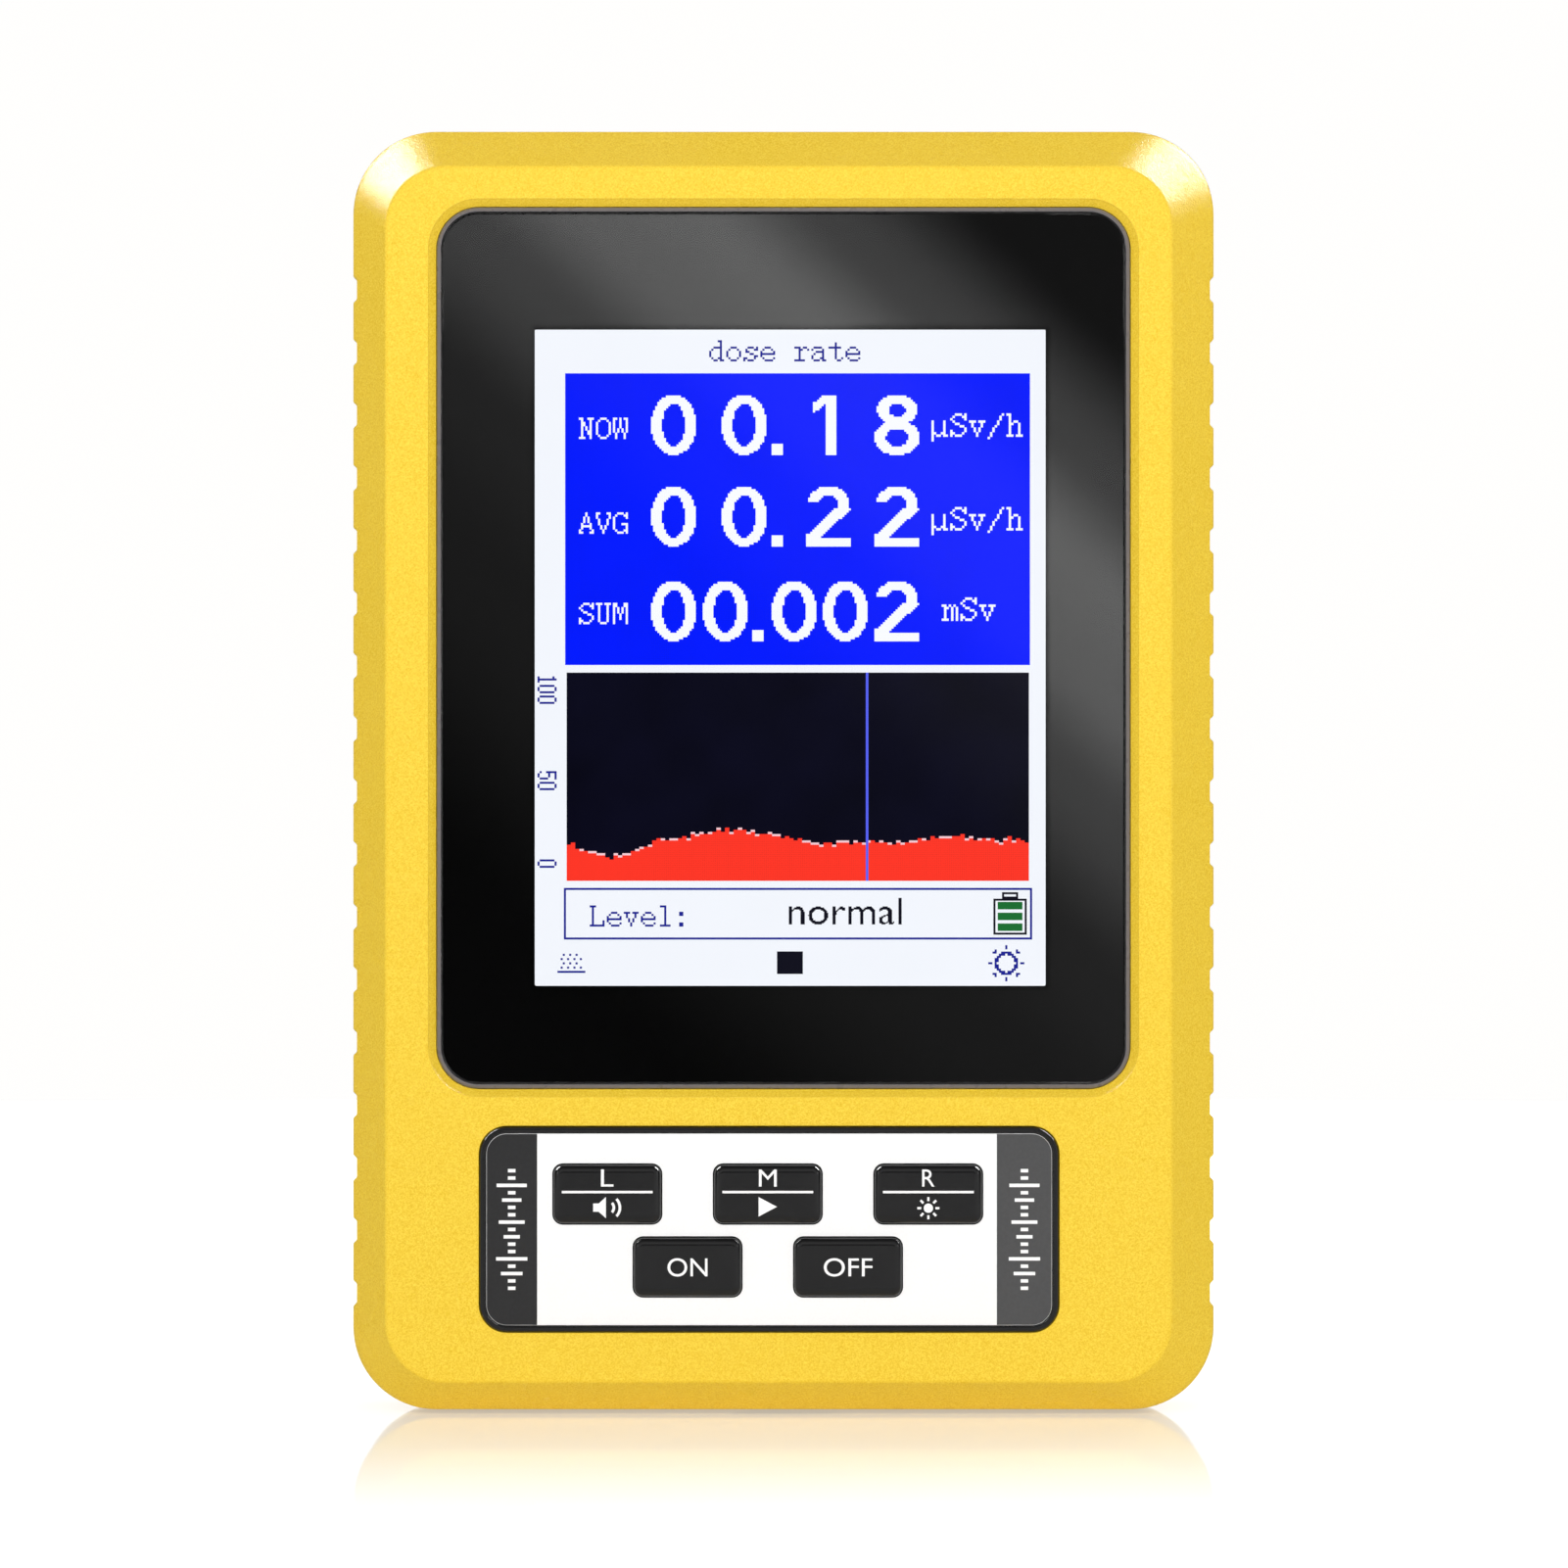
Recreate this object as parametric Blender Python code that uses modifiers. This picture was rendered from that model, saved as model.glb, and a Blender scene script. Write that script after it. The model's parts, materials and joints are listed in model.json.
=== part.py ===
"""Hand-held Geiger counter: a pocket radiation meter with a colour display and five keys.

Run it with: blender --background --python part.py
The model is in metres. X points right seen from the front, Y towards the back, and Z up. The origin is
under the middle of the meter, on the surface that it stands on. The sizes below are in millimetres.
"""

import math
from collections import namedtuple

import bmesh
import bpy
from mathutils import Matrix, Vector

MM = 0.001

# A rounded rectangle in X and Z.
Outline = namedtuple("Outline", "left right bottom top radius")

# ---- Driving dimensions ------------------------------------------------------------------------------

CASE_WIDTH = 80.0
CASE_HEIGHT = 118.8
TOTAL_DEPTH = 26.0
KEY_PROUD = 0.8
CORNER_RADIUS = 7.7
CORNER_STEPS = 8

SIDE_WALL = 2.0
FRONT_WALL = 3.0
BACK_WALL = 2.0
GAP = 0.3
FILM_GAP = 0.1

# The front edge is chamfered by a different amount on each side.
CHAMFER_LEFT = 3.2
CHAMFER_RIGHT = 4.1
CHAMFER_TOP = 3.5
CHAMFER_BOTTOM = 2.8
CHAMFER_DEPTH = 3.6
FACE_RADIUS = 5.6
BACK_CHAMFER = 2.5

# Depths along Y.
KEY_TOP_Y = -TOTAL_DEPTH / 2
FACE_Y = KEY_TOP_Y + KEY_PROUD
FRONT_WALL_Y = FACE_Y + FRONT_WALL
BACK_Y = TOTAL_DEPTH / 2
BACK_WALL_Y = BACK_Y - BACK_WALL
PARTING_Y = 2.5

# How far a cutter reaches past the surface that it cuts, and the slope inside each shell's corners.
CLEAR = 1.0
INNER_SLOPE = 1.8

# How far pillars and posts are sunk into the wall that they stand on.
PILLAR_SINK = 0.5

# Finger grips: shallow notches down both sides.
GRIP_COUNT = 17
GRIP_PITCH = 5.83
GRIP_TOP_Z = 104.1
GRIP_DEPTH = 0.36
GRIP_FLOOR = 1.6
GRIP_MOUTH = 2.5

# The lap joint between the two housings.
TONGUE_DEPTH = 1.2
TONGUE_INSET = 1.15
GROOVE_INSET = 0.9

# The window, its gutter and the display behind it.
LENS = Outline(-32.1, 32.1, 29.95, 111.55, 3.9)
GUTTER_WIDTH = 0.8
GUTTER_DEPTH = 0.5
LENS_SUNK = 0.15
LENS_THICKNESS = 1.2
LENS_RIM = 0.45
MASK_INSET = 0.2
MASK_THICKNESS = 0.2
ADHESIVE_INSET = 0.3
ADHESIVE_THICKNESS = 0.12
ADHESIVE_WIDTH = 2.2
LENS_FLOOR_Y = FACE_Y + 2.2
DISPLAY_OPENING_MARGIN = 2.5
SCREEN = Outline(-23.1, 24.35, 39.4, 100.35, 0.3)
DISPLAY_MARGIN_SIDE = 2.9
DISPLAY_MARGIN_TOP = 3.6
DISPLAY_MARGIN_BOTTOM = 5.4
PANEL_THICKNESS = 1.0
PANEL_INSET = 0.8
BACKLIGHT_THICKNESS = 2.1
FLEX_WIDTH = 16.0
FLEX_THICKNESS = 0.12
FLEX_TAIL = 6.0
FLEX_LAP = 0.2
FLEX_DROP = 0.4
FLEX_BEND_STEPS = 8

# The keypad: a bezel, a faceplate in it, and five keys through both.
KEYPAD = Outline(-28.1, 25.45, 7.45, 26.4, 2.5)
KEYPAD_X = -1.45
KEYPAD_POCKET_Y = FACE_Y + 2.2
KEYPAD_LEDGE = 1.7
BEZEL_PROUD = 0.25
BEZEL_RIM = 0.65
BEZEL_CHAMFER = 0.2
FACEPLATE_SUNK = 0.1
FACEPLATE_THICKNESS = 0.35
KEY_WIDTH = 9.95
KEY_HEIGHT = 5.45
KEY_RADIUS = 0.85
KEY_CROWN = 0.55
KEY_CLEARANCE = 0.25
KEY_PITCH = 14.85
KEY_UPPER_Z = 20.2
KEY_LOWER_Z = 13.45
KEY_TRAVEL = 0.5
FLANGE_LIP_X = 0.7
FLANGE_LIP_Z = 0.42
FLANGE_THICKNESS = 0.6
POST_RADIUS = 1.5

# Name of each key and its place across and up.
KEYS = {
    "sound": (KEYPAD_X - KEY_PITCH, KEY_UPPER_Z),
    "play": (KEYPAD_X, KEY_UPPER_Z),
    "light": (KEYPAD_X + KEY_PITCH, KEY_UPPER_Z),
    "on": (KEYPAD_X - KEY_PITCH / 2, KEY_LOWER_Z),
    "off": (KEYPAD_X + KEY_PITCH / 2, KEY_LOWER_Z),
}

# The circuit board and the push switches on its front.
BOARD = Outline(-30.0, 30.0, 2.8, 112.4, 1.5)
BOARD_FRONT_Y = -5.3
BOARD_THICKNESS = 1.6
BOARD_BACK_Y = BOARD_FRONT_Y + BOARD_THICKNESS
SEAT_Y = BOARD_BACK_Y + GAP
SWITCH_SIZE = 6.0
SWITCH_CORNER = 0.4
SWITCH_TOP_Y = -8.1
PLUNGER_RADIUS = 1.6
PLUNGER_TOP_Y = -8.8
PLUNGER_FOOT_Y = -7.0

# Screws, and the pillars that take them.
HOUSING_SCREW_X = 33.8
HOUSING_SCREW_EDGE = 6.4
PILLAR_RADIUS = 3.2
HOUSING_SCREW_RADIUS = 1.2
HOUSING_HEAD_RADIUS = 2.4
HOUSING_HEAD_HEIGHT = 1.7
HOUSING_TIP_Y = -4.0
COUNTERBORE_RADIUS = 2.75
COUNTERBORE_DEPTH = 3.0
BOARD_SCREW_X = 27.0
BOARD_SCREW_LOW_Z = 30.0
BOARD_SCREW_HIGH_Z = 108.5
BOARD_POST_RADIUS = 2.4
BOARD_SCREW_RADIUS = 0.8
BOARD_HEAD_RADIUS = 1.8
BOARD_HEAD_HEIGHT = 1.2
BOARD_TIP_Y = -8.4

# The Geiger-Muller tube and its two spring clips.
TUBE_X = -22.0
TUBE_Y = 2.9
TUBE_BOTTOM_Z = 15.0
TUBE_LENGTH = 88.0
TUBE_RADIUS = 5.0
TUBE_WALL = 0.8
TUBE_CAP_LENGTH = 8.0
TUBE_CAP_WALL = 0.3
TUBE_PIN_RADIUS = 0.75
TUBE_PIN_LENGTH = 2.5
ANODE_RADIUS = 0.2
CLIP_WALL = 0.4
CLIP_FOOT = 4.4
CLIP_HEIGHT = 4.0
CLIP_OPENING = math.radians(100)

# The sensor slots and the sound holes in the back.
SLOT_COUNT = 7
SLOT_PITCH = 6.0
SLOT_WIDTH = 12.0
SLOT_HEIGHT = 1.8
SLOT_TOP_Z = 92.0
SOUND_HOLE_RADIUS = 0.9
SOUND_HOLE_RING = 3.2
SOUND_HOLE_COUNT = 6

# The label lies in a shallow recess in the back.
LABEL = Outline(-8.0, 30.0, 52.0, 92.0, 2.0)
LABEL_RECESS = 0.35
LABEL_THICKNESS = 0.15

# The parts of the high-voltage supply, and the chips.
INDUCTOR_X = -7.0
INDUCTOR_Z = 33.0
INDUCTOR_RADIUS = 4.5
INDUCTOR_WAIST = 3.2
INDUCTOR_HEIGHT = 7.0
INDUCTOR_FLANGE = 1.2
INDUCTOR_SLOPE = 0.2
CAPACITOR = Outline(-10.75, -3.25, 14.5, 23.5, 1.2)
CAPACITOR_HEIGHT = 4.5
CONTROLLER = Outline(4.0, 14.0, 57.0, 67.0, 0.3)
CONTROLLER_HEIGHT = 1.4
CHARGER = Outline(1.5, 6.5, 12.5, 16.5, 0.2)
CHARGER_HEIGHT = 1.2
CRYSTAL = Outline(-5.6, -2.4, 56.0, 64.0, 1.5)
CRYSTAL_HEIGHT = 2.5

# Buzzer and battery.
BUZZER_X = 16.0
BUZZER_Z = 26.0
BUZZER_RADIUS = 6.0
BUZZER_HEIGHT = 6.5
BUZZER_PORT_RADIUS = 1.2
BUZZER_PORT_DEPTH = 1.5
BUZZER_EDGE = 0.4
BATTERY = Outline(-9.0, 25.0, 44.0, 94.0, 1.0)
BATTERY_THICKNESS = 6.0
BATTERY_CLEARANCE = 0.6
BATTERY_BACK_Y = BACK_WALL_Y - BATTERY_CLEARANCE
WIRE_RADIUS = 0.6
HEADER = Outline(0.5, 8.5, 99.5, 104.5, 0.2)
HEADER_DEPTH = 5.0
HEADER_WALL = 0.7
HEADER_FLOOR = 1.0
PLUG_PROUD = 1.0
BATTERY_EDGE = 0.6
BATTERY_TAPE_INSET = 4.0
LEAD_SPREAD_PLUG = 1.3
LEAD_SPREAD_CELL = 2.2
LEAD_LOOP = 4.0

# The charging socket in the bottom.
PORT_X = 0.0
SOCKET_WIDTH = 9.0
SOCKET_DEPTH = 3.2
PORT_Y = SEAT_Y + SOCKET_DEPTH / 2
SOCKET_LENGTH = 7.3
SOCKET_WALL = 0.3
SOCKET_MOUTH_Z = 0.4
SOCKET_FLOOR = 1.2
SOCKET_TONGUE_SUNK = 1.2
SOCKET_TONGUE_WIDTH = 6.6
SOCKET_TONGUE_THICKNESS = 0.7

OUTER = Outline(-CASE_WIDTH / 2, CASE_WIDTH / 2, 0.0, CASE_HEIGHT, CORNER_RADIUS)
FACE = Outline(
    OUTER.left + CHAMFER_LEFT,
    OUTER.right - CHAMFER_RIGHT,
    OUTER.bottom + CHAMFER_BOTTOM,
    OUTER.top - CHAMFER_TOP,
    FACE_RADIUS,
)


# ---- Scene, materials and objects --------------------------------------------------------------------


def clear_scene():
    for obj in list(bpy.data.objects):
        bpy.data.objects.remove(obj)


def new_collection(name):
    collection = bpy.data.collections.new(name)
    bpy.context.scene.collection.children.link(collection)
    return collection


def principled(name, colour, roughness, metallic=0.0, transmission=0.0):
    material = bpy.data.materials.new(name)
    material.use_nodes = True
    shader = material.node_tree.nodes["Principled BSDF"]
    shader.inputs["Base Color"].default_value = (*colour, 1.0)
    shader.inputs["Roughness"].default_value = roughness
    shader.inputs["Metallic"].default_value = metallic
    shader.inputs["Transmission Weight"].default_value = transmission
    material.diffuse_color = (*colour, 1.0)
    return material


clear_scene()
PARTS = new_collection("geiger_counter")
CUTTERS = new_collection("geiger_counter_cutters")
METER = bpy.data.objects.new("meter_axes", None)
PARTS.objects.link(METER)

CASE_YELLOW = principled("case_yellow", (0.93, 0.62, 0.06), 0.45)
CLEAR_ACRYLIC = principled("clear_acrylic", (1.0, 1.0, 1.0), 0.03, transmission=1.0)
BLACK_PRINT = principled("black_print", (0.004, 0.004, 0.005), 0.25)
BLACK_GLOSS = principled("black_gloss_plastic", (0.012, 0.012, 0.013), 0.2)
LABEL_SILVER = principled("label_silver", (0.55, 0.56, 0.58), 0.4, metallic=0.4)
WHITE_PLATE = principled("white_plate", (0.9, 0.9, 0.9), 0.4)
TAPE = principled("adhesive_tape", (0.05, 0.05, 0.05), 0.8)
DISPLAY_GLASS = principled("display_glass", (0.8, 0.85, 0.95), 0.15)
WHITE_PLASTIC = principled("white_plastic", (0.8, 0.8, 0.78), 0.5)
POLYIMIDE = principled("flex_polyimide", (0.55, 0.25, 0.04), 0.35)
BOARD_GREEN = principled("board_green", (0.02, 0.16, 0.06), 0.35)
TUBE_GLASS = principled("tube_glass", (0.9, 0.95, 0.95), 0.05, transmission=1.0)
TIN = principled("tinned_metal", (0.7, 0.7, 0.68), 0.3, metallic=1.0)
BRASS = principled("brass", (0.75, 0.55, 0.22), 0.3, metallic=1.0)
STEEL = principled("steel", (0.6, 0.6, 0.6), 0.3, metallic=1.0)
FERRITE = principled("ferrite", (0.05, 0.05, 0.055), 0.6)
CERAMIC_BLUE = principled("capacitor_blue", (0.02, 0.1, 0.4), 0.4)
CHIP_BLACK = principled("chip_black", (0.02, 0.02, 0.02), 0.5)
BATTERY_FOIL = principled("battery_foil", (0.55, 0.58, 0.6), 0.35, metallic=0.6)
WIRE_RED = principled("wire_red", (0.5, 0.02, 0.02), 0.4)
WIRE_BLACK = principled("wire_black", (0.015, 0.015, 0.015), 0.4)


def add_object(name, data, location, material, helper=False, parent=None):
    """Puts mesh or curve data in the scene. A helper is a cutter or a piece that a union joins."""
    obj = bpy.data.objects.new(name, data)
    obj.location = Vector(location) * MM
    if helper:
        CUTTERS.objects.link(obj)
        obj.hide_render = True
        obj.display_type = "WIRE"
    else:
        PARTS.objects.link(obj)
        obj.parent = parent or METER
        if not data.materials:
            data.materials.append(material)
    return obj


def mesh_from(bm, name):
    bmesh.ops.recalc_face_normals(bm, faces=bm.faces)
    mesh = bpy.data.meshes.new(name)
    bm.to_mesh(mesh)
    bm.free()
    return mesh


def boolean(target, operation, other):
    modifier = target.modifiers.new(f"{operation.lower()}_{other.name}", "BOOLEAN")
    modifier.operation = operation
    modifier.object = other


def cut(target, *cutters):
    for cutter in cutters:
        boolean(target, "DIFFERENCE", cutter)


def join(target, *pieces):
    for piece in pieces:
        boolean(target, "UNION", piece)


# ---- Shapes ------------------------------------------------------------------------------------------


def inset(outline, distance):
    """The outline moved inwards by a distance, or outwards by a negative one."""
    return Outline(
        outline.left + distance,
        outline.right - distance,
        outline.bottom + distance,
        outline.top - distance,
        max(outline.radius - distance, 0.1),
    )


def centred(x, z, width, height, radius):
    return Outline(x - width / 2, x + width / 2, z - height / 2, z + height / 2, radius)


def outline_points(outline, steps=CORNER_STEPS):
    """The points of a rounded rectangle, with each corner an arc of so many steps."""
    r = outline.radius
    corners = [
        (outline.right - r, outline.top - r, 0),
        (outline.left + r, outline.top - r, 90),
        (outline.left + r, outline.bottom + r, 180),
        (outline.right - r, outline.bottom + r, 270),
    ]
    points = []
    for x, z, start in corners:
        for step in range(steps + 1):
            angle = math.radians(start + 90 * step / steps)
            points.append((x + r * math.cos(angle), z + r * math.sin(angle)))
    return points


def loft(name, sections, material, steps=CORNER_STEPS, **placing):
    """A closed body through (y, outline) sections, from front to back. Two sections may share a depth."""
    bm = bmesh.new()
    rings = []
    for y, outline in sections:
        ring = [bm.verts.new((x * MM, y * MM, z * MM)) for x, z in outline_points(outline, steps)]
        rings.append(ring)
    for near, far in zip(rings, rings[1:]):
        for i in range(len(near)):
            j = (i + 1) % len(near)
            bm.faces.new((near[i], near[j], far[j], far[i]))
    bm.faces.new(rings[0])
    bm.faces.new(rings[-1])
    return add_object(name, mesh_from(bm, name), (0, 0, 0), material, **placing)


def helper_loft(name, sections):
    return loft(name, sections, None, helper=True)


def face_down(obj, top):
    """Turns a loft so that it runs down from a height, centred on the charging port."""
    obj.location = Vector((PORT_X, PORT_Y, top)) * MM
    obj.rotation_euler = (-math.pi / 2, 0, 0)


def add_slab(bm, outline, front, back, offset=(0, 0, 0), steps=CORNER_STEPS, rim=0.0):
    """Adds a cube with its four edges along Y rounded, and its front rim chamfered by rim."""
    size = Vector((outline.right - outline.left, back - front, outline.top - outline.bottom))
    centre = slab_centre(outline, front, back) - Vector(offset)
    made = bmesh.ops.create_cube(bm, size=1.0)["verts"]
    bmesh.ops.scale(bm, vec=size * MM, verts=made)
    edges = {edge for vert in made for edge in vert.link_edges}
    upright = [e for e in edges if abs(e.verts[0].co.y - e.verts[1].co.y) > size.y * MM / 2]
    rounded = bmesh.ops.bevel(
        bm,
        geom=upright,
        offset=outline.radius * MM,
        segments=steps,
        profile=0.5,
        affect="EDGES",
    )
    body = {v for v in made if v.is_valid} | {v for f in rounded["faces"] for v in f.verts}
    if rim:
        edges = {edge for vert in body for edge in vert.link_edges}
        front_rim = [e for e in edges if all(v.co.y < -size.y * MM * 0.49 for v in e.verts)]
        eased = bmesh.ops.bevel(bm, geom=front_rim, offset=rim * MM, segments=1, affect="EDGES")
        body = {v for v in body if v.is_valid} | {v for f in eased["faces"] for v in f.verts}
    bmesh.ops.translate(bm, vec=centre * MM, verts=list(body))


def slab_centre(outline, front, back):
    return Vector(
        (
            (outline.left + outline.right) / 2,
            (front + back) / 2,
            (outline.bottom + outline.top) / 2,
        )
    )


def slab(name, outline, front, back, material, steps=CORNER_STEPS, rim=0.0, **placing):
    """A plate whose rounded outline faces the front."""
    centre = slab_centre(outline, front, back)
    bm = bmesh.new()
    add_slab(bm, outline, front, back, centre, steps, rim)
    return add_object(name, mesh_from(bm, name), centre, material, **placing)


def slab_cutter(name, outlines, front, back, steps=CORNER_STEPS):
    """One cutter made of a slab for each outline."""
    bm = bmesh.new()
    for outline in outlines:
        add_slab(bm, outline, front, back, steps=steps)
    return add_object(name, mesh_from(bm, name), (0, 0, 0), None, helper=True)


def rod_helper(name, places, radius, front, back, steps=16):
    """One helper made of a rod along Y at each place in X and Z."""
    bm = bmesh.new()
    for x, z in places:
        centre = Vector((x, (front + back) / 2, z)) * MM
        bmesh.ops.create_cone(
            bm,
            cap_ends=True,
            segments=steps,
            radius1=radius * MM,
            radius2=radius * MM,
            depth=(back - front) * MM,
            matrix=Matrix.Translation(centre) @ Matrix.Rotation(math.pi / 2, 4, "X"),
        )
    return add_object(name, mesh_from(bm, name), (0, 0, 0), None, helper=True)


def turned(name, profile, location, material, rotation=(0, 0, 0), closed=False, steps=20, **placing):
    """A profile of (radius, height) points, from the top down its outer side, turned about its own Z."""
    bm = bmesh.new()
    verts = [bm.verts.new((radius * MM, 0, height * MM)) for radius, height in profile]
    for first, second in zip(verts, verts[1:]):
        bm.edges.new((first, second))
    if closed:
        bm.edges.new((verts[-1], verts[0]))
    mesh = bpy.data.meshes.new(name)
    bm.to_mesh(mesh)
    bm.free()
    obj = add_object(name, mesh, location, material, **placing)
    obj.rotation_euler = rotation
    screw = obj.modifiers.new("turn", "SCREW")
    screw.steps = screw.render_steps = steps
    screw.use_merge_vertices = True
    screw.merge_threshold = 0.00001
    screw.use_smooth_shade = False
    return obj


def extruded(name, points, thickness, location, material, **placing):
    """A flat closed outline in X and Y, given thickness along Z about its location."""
    curve = bpy.data.curves.new(name, "CURVE")
    curve.dimensions = "2D"
    curve.fill_mode = "BOTH"
    curve.extrude = thickness / 2 * MM
    spline = curve.splines.new("POLY")
    spline.points.add(len(points) - 1)
    for point, (x, y) in zip(spline.points, points):
        point.co = (x * MM, y * MM, 0, 1)
    spline.use_cyclic_u = True
    return add_object(name, curve, location, material, **placing)


def smooth_route(points, per_span=4):
    """Points along a smooth Catmull-Rom curve through the given ones."""
    ends = [2 * points[0] - points[1], *points, 2 * points[-1] - points[-2]]
    route = []
    for a, b, c, d in zip(ends, ends[1:], ends[2:], ends[3:]):
        for step in range(per_span):
            t = step / per_span
            slope = (c - a) * t + (2 * a - 5 * b + 4 * c - d) * t**2 + (3 * b - a - 3 * c + d) * t**3
            route.append(b + slope / 2)
    return [*route, points[-1]]


def wire(name, points, material):
    """A round wire along a smooth route."""
    curve = bpy.data.curves.new(name, "CURVE")
    curve.dimensions = "3D"
    curve.bevel_depth = WIRE_RADIUS * MM
    curve.bevel_resolution = 2
    curve.use_fill_caps = True
    route = smooth_route([Vector(point) for point in points])
    spline = curve.splines.new("POLY")
    spline.points.add(len(route) - 1)
    for point, place in zip(spline.points, route):
        point.co = (*(place * MM), 1)
    return add_object(name, curve, (0, 0, 0), material)


# ---- Housings ----------------------------------------------------------------------------------------


def housing_screw_places():
    heights = (HOUSING_SCREW_EDGE, CASE_HEIGHT - HOUSING_SCREW_EDGE)
    return [(side * HOUSING_SCREW_X, z) for z in heights for side in (-1, 1)]


def board_screw_places():
    heights = (BOARD_SCREW_LOW_Z, BOARD_SCREW_HIGH_Z)
    return [(side * BOARD_SCREW_X, z) for z in heights for side in (-1, 1)]


def grip_cutter():
    """Notches down both sides, each wider at its mouth than at its floor."""
    reach = 1.0
    mouth = GRIP_FLOOR + (GRIP_MOUTH - GRIP_FLOOR) * reach / GRIP_DEPTH
    bm = bmesh.new()
    for side in (-1, 1):
        floor_x = side * (CASE_WIDTH / 2 - GRIP_DEPTH)
        for index in range(GRIP_COUNT):
            centre = Vector((floor_x + side * reach / 2, 0, GRIP_TOP_Z - index * GRIP_PITCH))
            verts = bmesh.ops.create_cube(bm, size=1.0)["verts"]
            bmesh.ops.scale(bm, vec=Vector((reach, TOTAL_DEPTH + 4, GRIP_FLOOR)) * MM, verts=verts)
            outer = [v for v in verts if v.co.x * side > 0]
            bmesh.ops.scale(bm, vec=(1, 1, mouth / GRIP_FLOOR), verts=outer)
            bmesh.ops.translate(bm, vec=centre * MM, verts=verts)
    return add_object("grip_cutter", mesh_from(bm, "grip_cutter"), (0, 0, 0), None, helper=True)


def front_housing(grips):
    """The front shell, with its window recess, keypad opening, screw pillars and board posts."""
    inner = inset(OUTER, SIDE_WALL)
    chamfer_y = FACE_Y + CHAMFER_DEPTH
    shell = loft(
        "front_housing",
        [(FACE_Y, FACE), (chamfer_y, OUTER), (PARTING_Y, OUTER)],
        CASE_YELLOW,
    )
    cavity = helper_loft(
        "front_cavity",
        [
            (FRONT_WALL_Y, inset(inner, INNER_SLOPE)),
            (FRONT_WALL_Y + INNER_SLOPE, inner),
            (PARTING_Y + CLEAR, inner),
        ],
    )
    groove = helper_loft(
        "lap_groove",
        [
            (PARTING_Y - TONGUE_DEPTH - GAP, inset(OUTER, GROOVE_INSET)),
            (PARTING_Y + CLEAR, inset(OUTER, GROOVE_INSET)),
        ],
    )
    screws = housing_screw_places()
    board_screws = board_screw_places()
    pillar_hole = HOUSING_SCREW_RADIUS + GAP
    post_hole = BOARD_SCREW_RADIUS + GAP
    into_wall = FRONT_WALL_Y - PILLAR_SINK
    pillars = rod_helper("front_pillars", screws, PILLAR_RADIUS, into_wall, PARTING_Y)
    posts = rod_helper("board_posts", board_screws, BOARD_POST_RADIUS, into_wall, BOARD_FRONT_Y - GAP)
    pillar_holes = rod_helper(
        "front_pillar_holes", screws, pillar_hole, HOUSING_TIP_Y - GAP, PARTING_Y + CLEAR
    )
    post_holes = rod_helper(
        "board_post_holes", board_screws, post_hole, BOARD_TIP_Y - GAP, BOARD_FRONT_Y + CLEAR
    )
    above = FACE_Y - CLEAR
    below = FRONT_WALL_Y + CLEAR
    gutter = slab_cutter("window_gutter", [inset(LENS, -GUTTER_WIDTH)], above, FACE_Y + GUTTER_DEPTH)
    pocket = slab_cutter("window_pocket", [inset(LENS, -GAP)], above, LENS_FLOOR_Y)
    opening = slab_cutter("display_opening", [inset(SCREEN, -DISPLAY_OPENING_MARGIN)], above, below)
    keypad_pocket = slab_cutter("keypad_pocket", [inset(KEYPAD, -GAP)], above, KEYPAD_POCKET_Y)
    keypad_opening = slab_cutter("keypad_opening", [inset(KEYPAD, KEYPAD_LEDGE)], above, below)
    port_outline = centred(0, 0, SOCKET_WIDTH + 2 * GAP, SOCKET_DEPTH + 2 * GAP, SOCKET_DEPTH / 2)
    port = helper_loft("port_opening", [(0.0, port_outline), (SIDE_WALL + 2 * CLEAR, port_outline)])
    face_down(port, SIDE_WALL + CLEAR)
    cut(shell, cavity, groove)
    join(shell, pillars, posts)
    cut(shell, pillar_holes, post_holes, gutter, pocket, opening)
    cut(shell, keypad_pocket, keypad_opening, port, grips)


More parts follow.
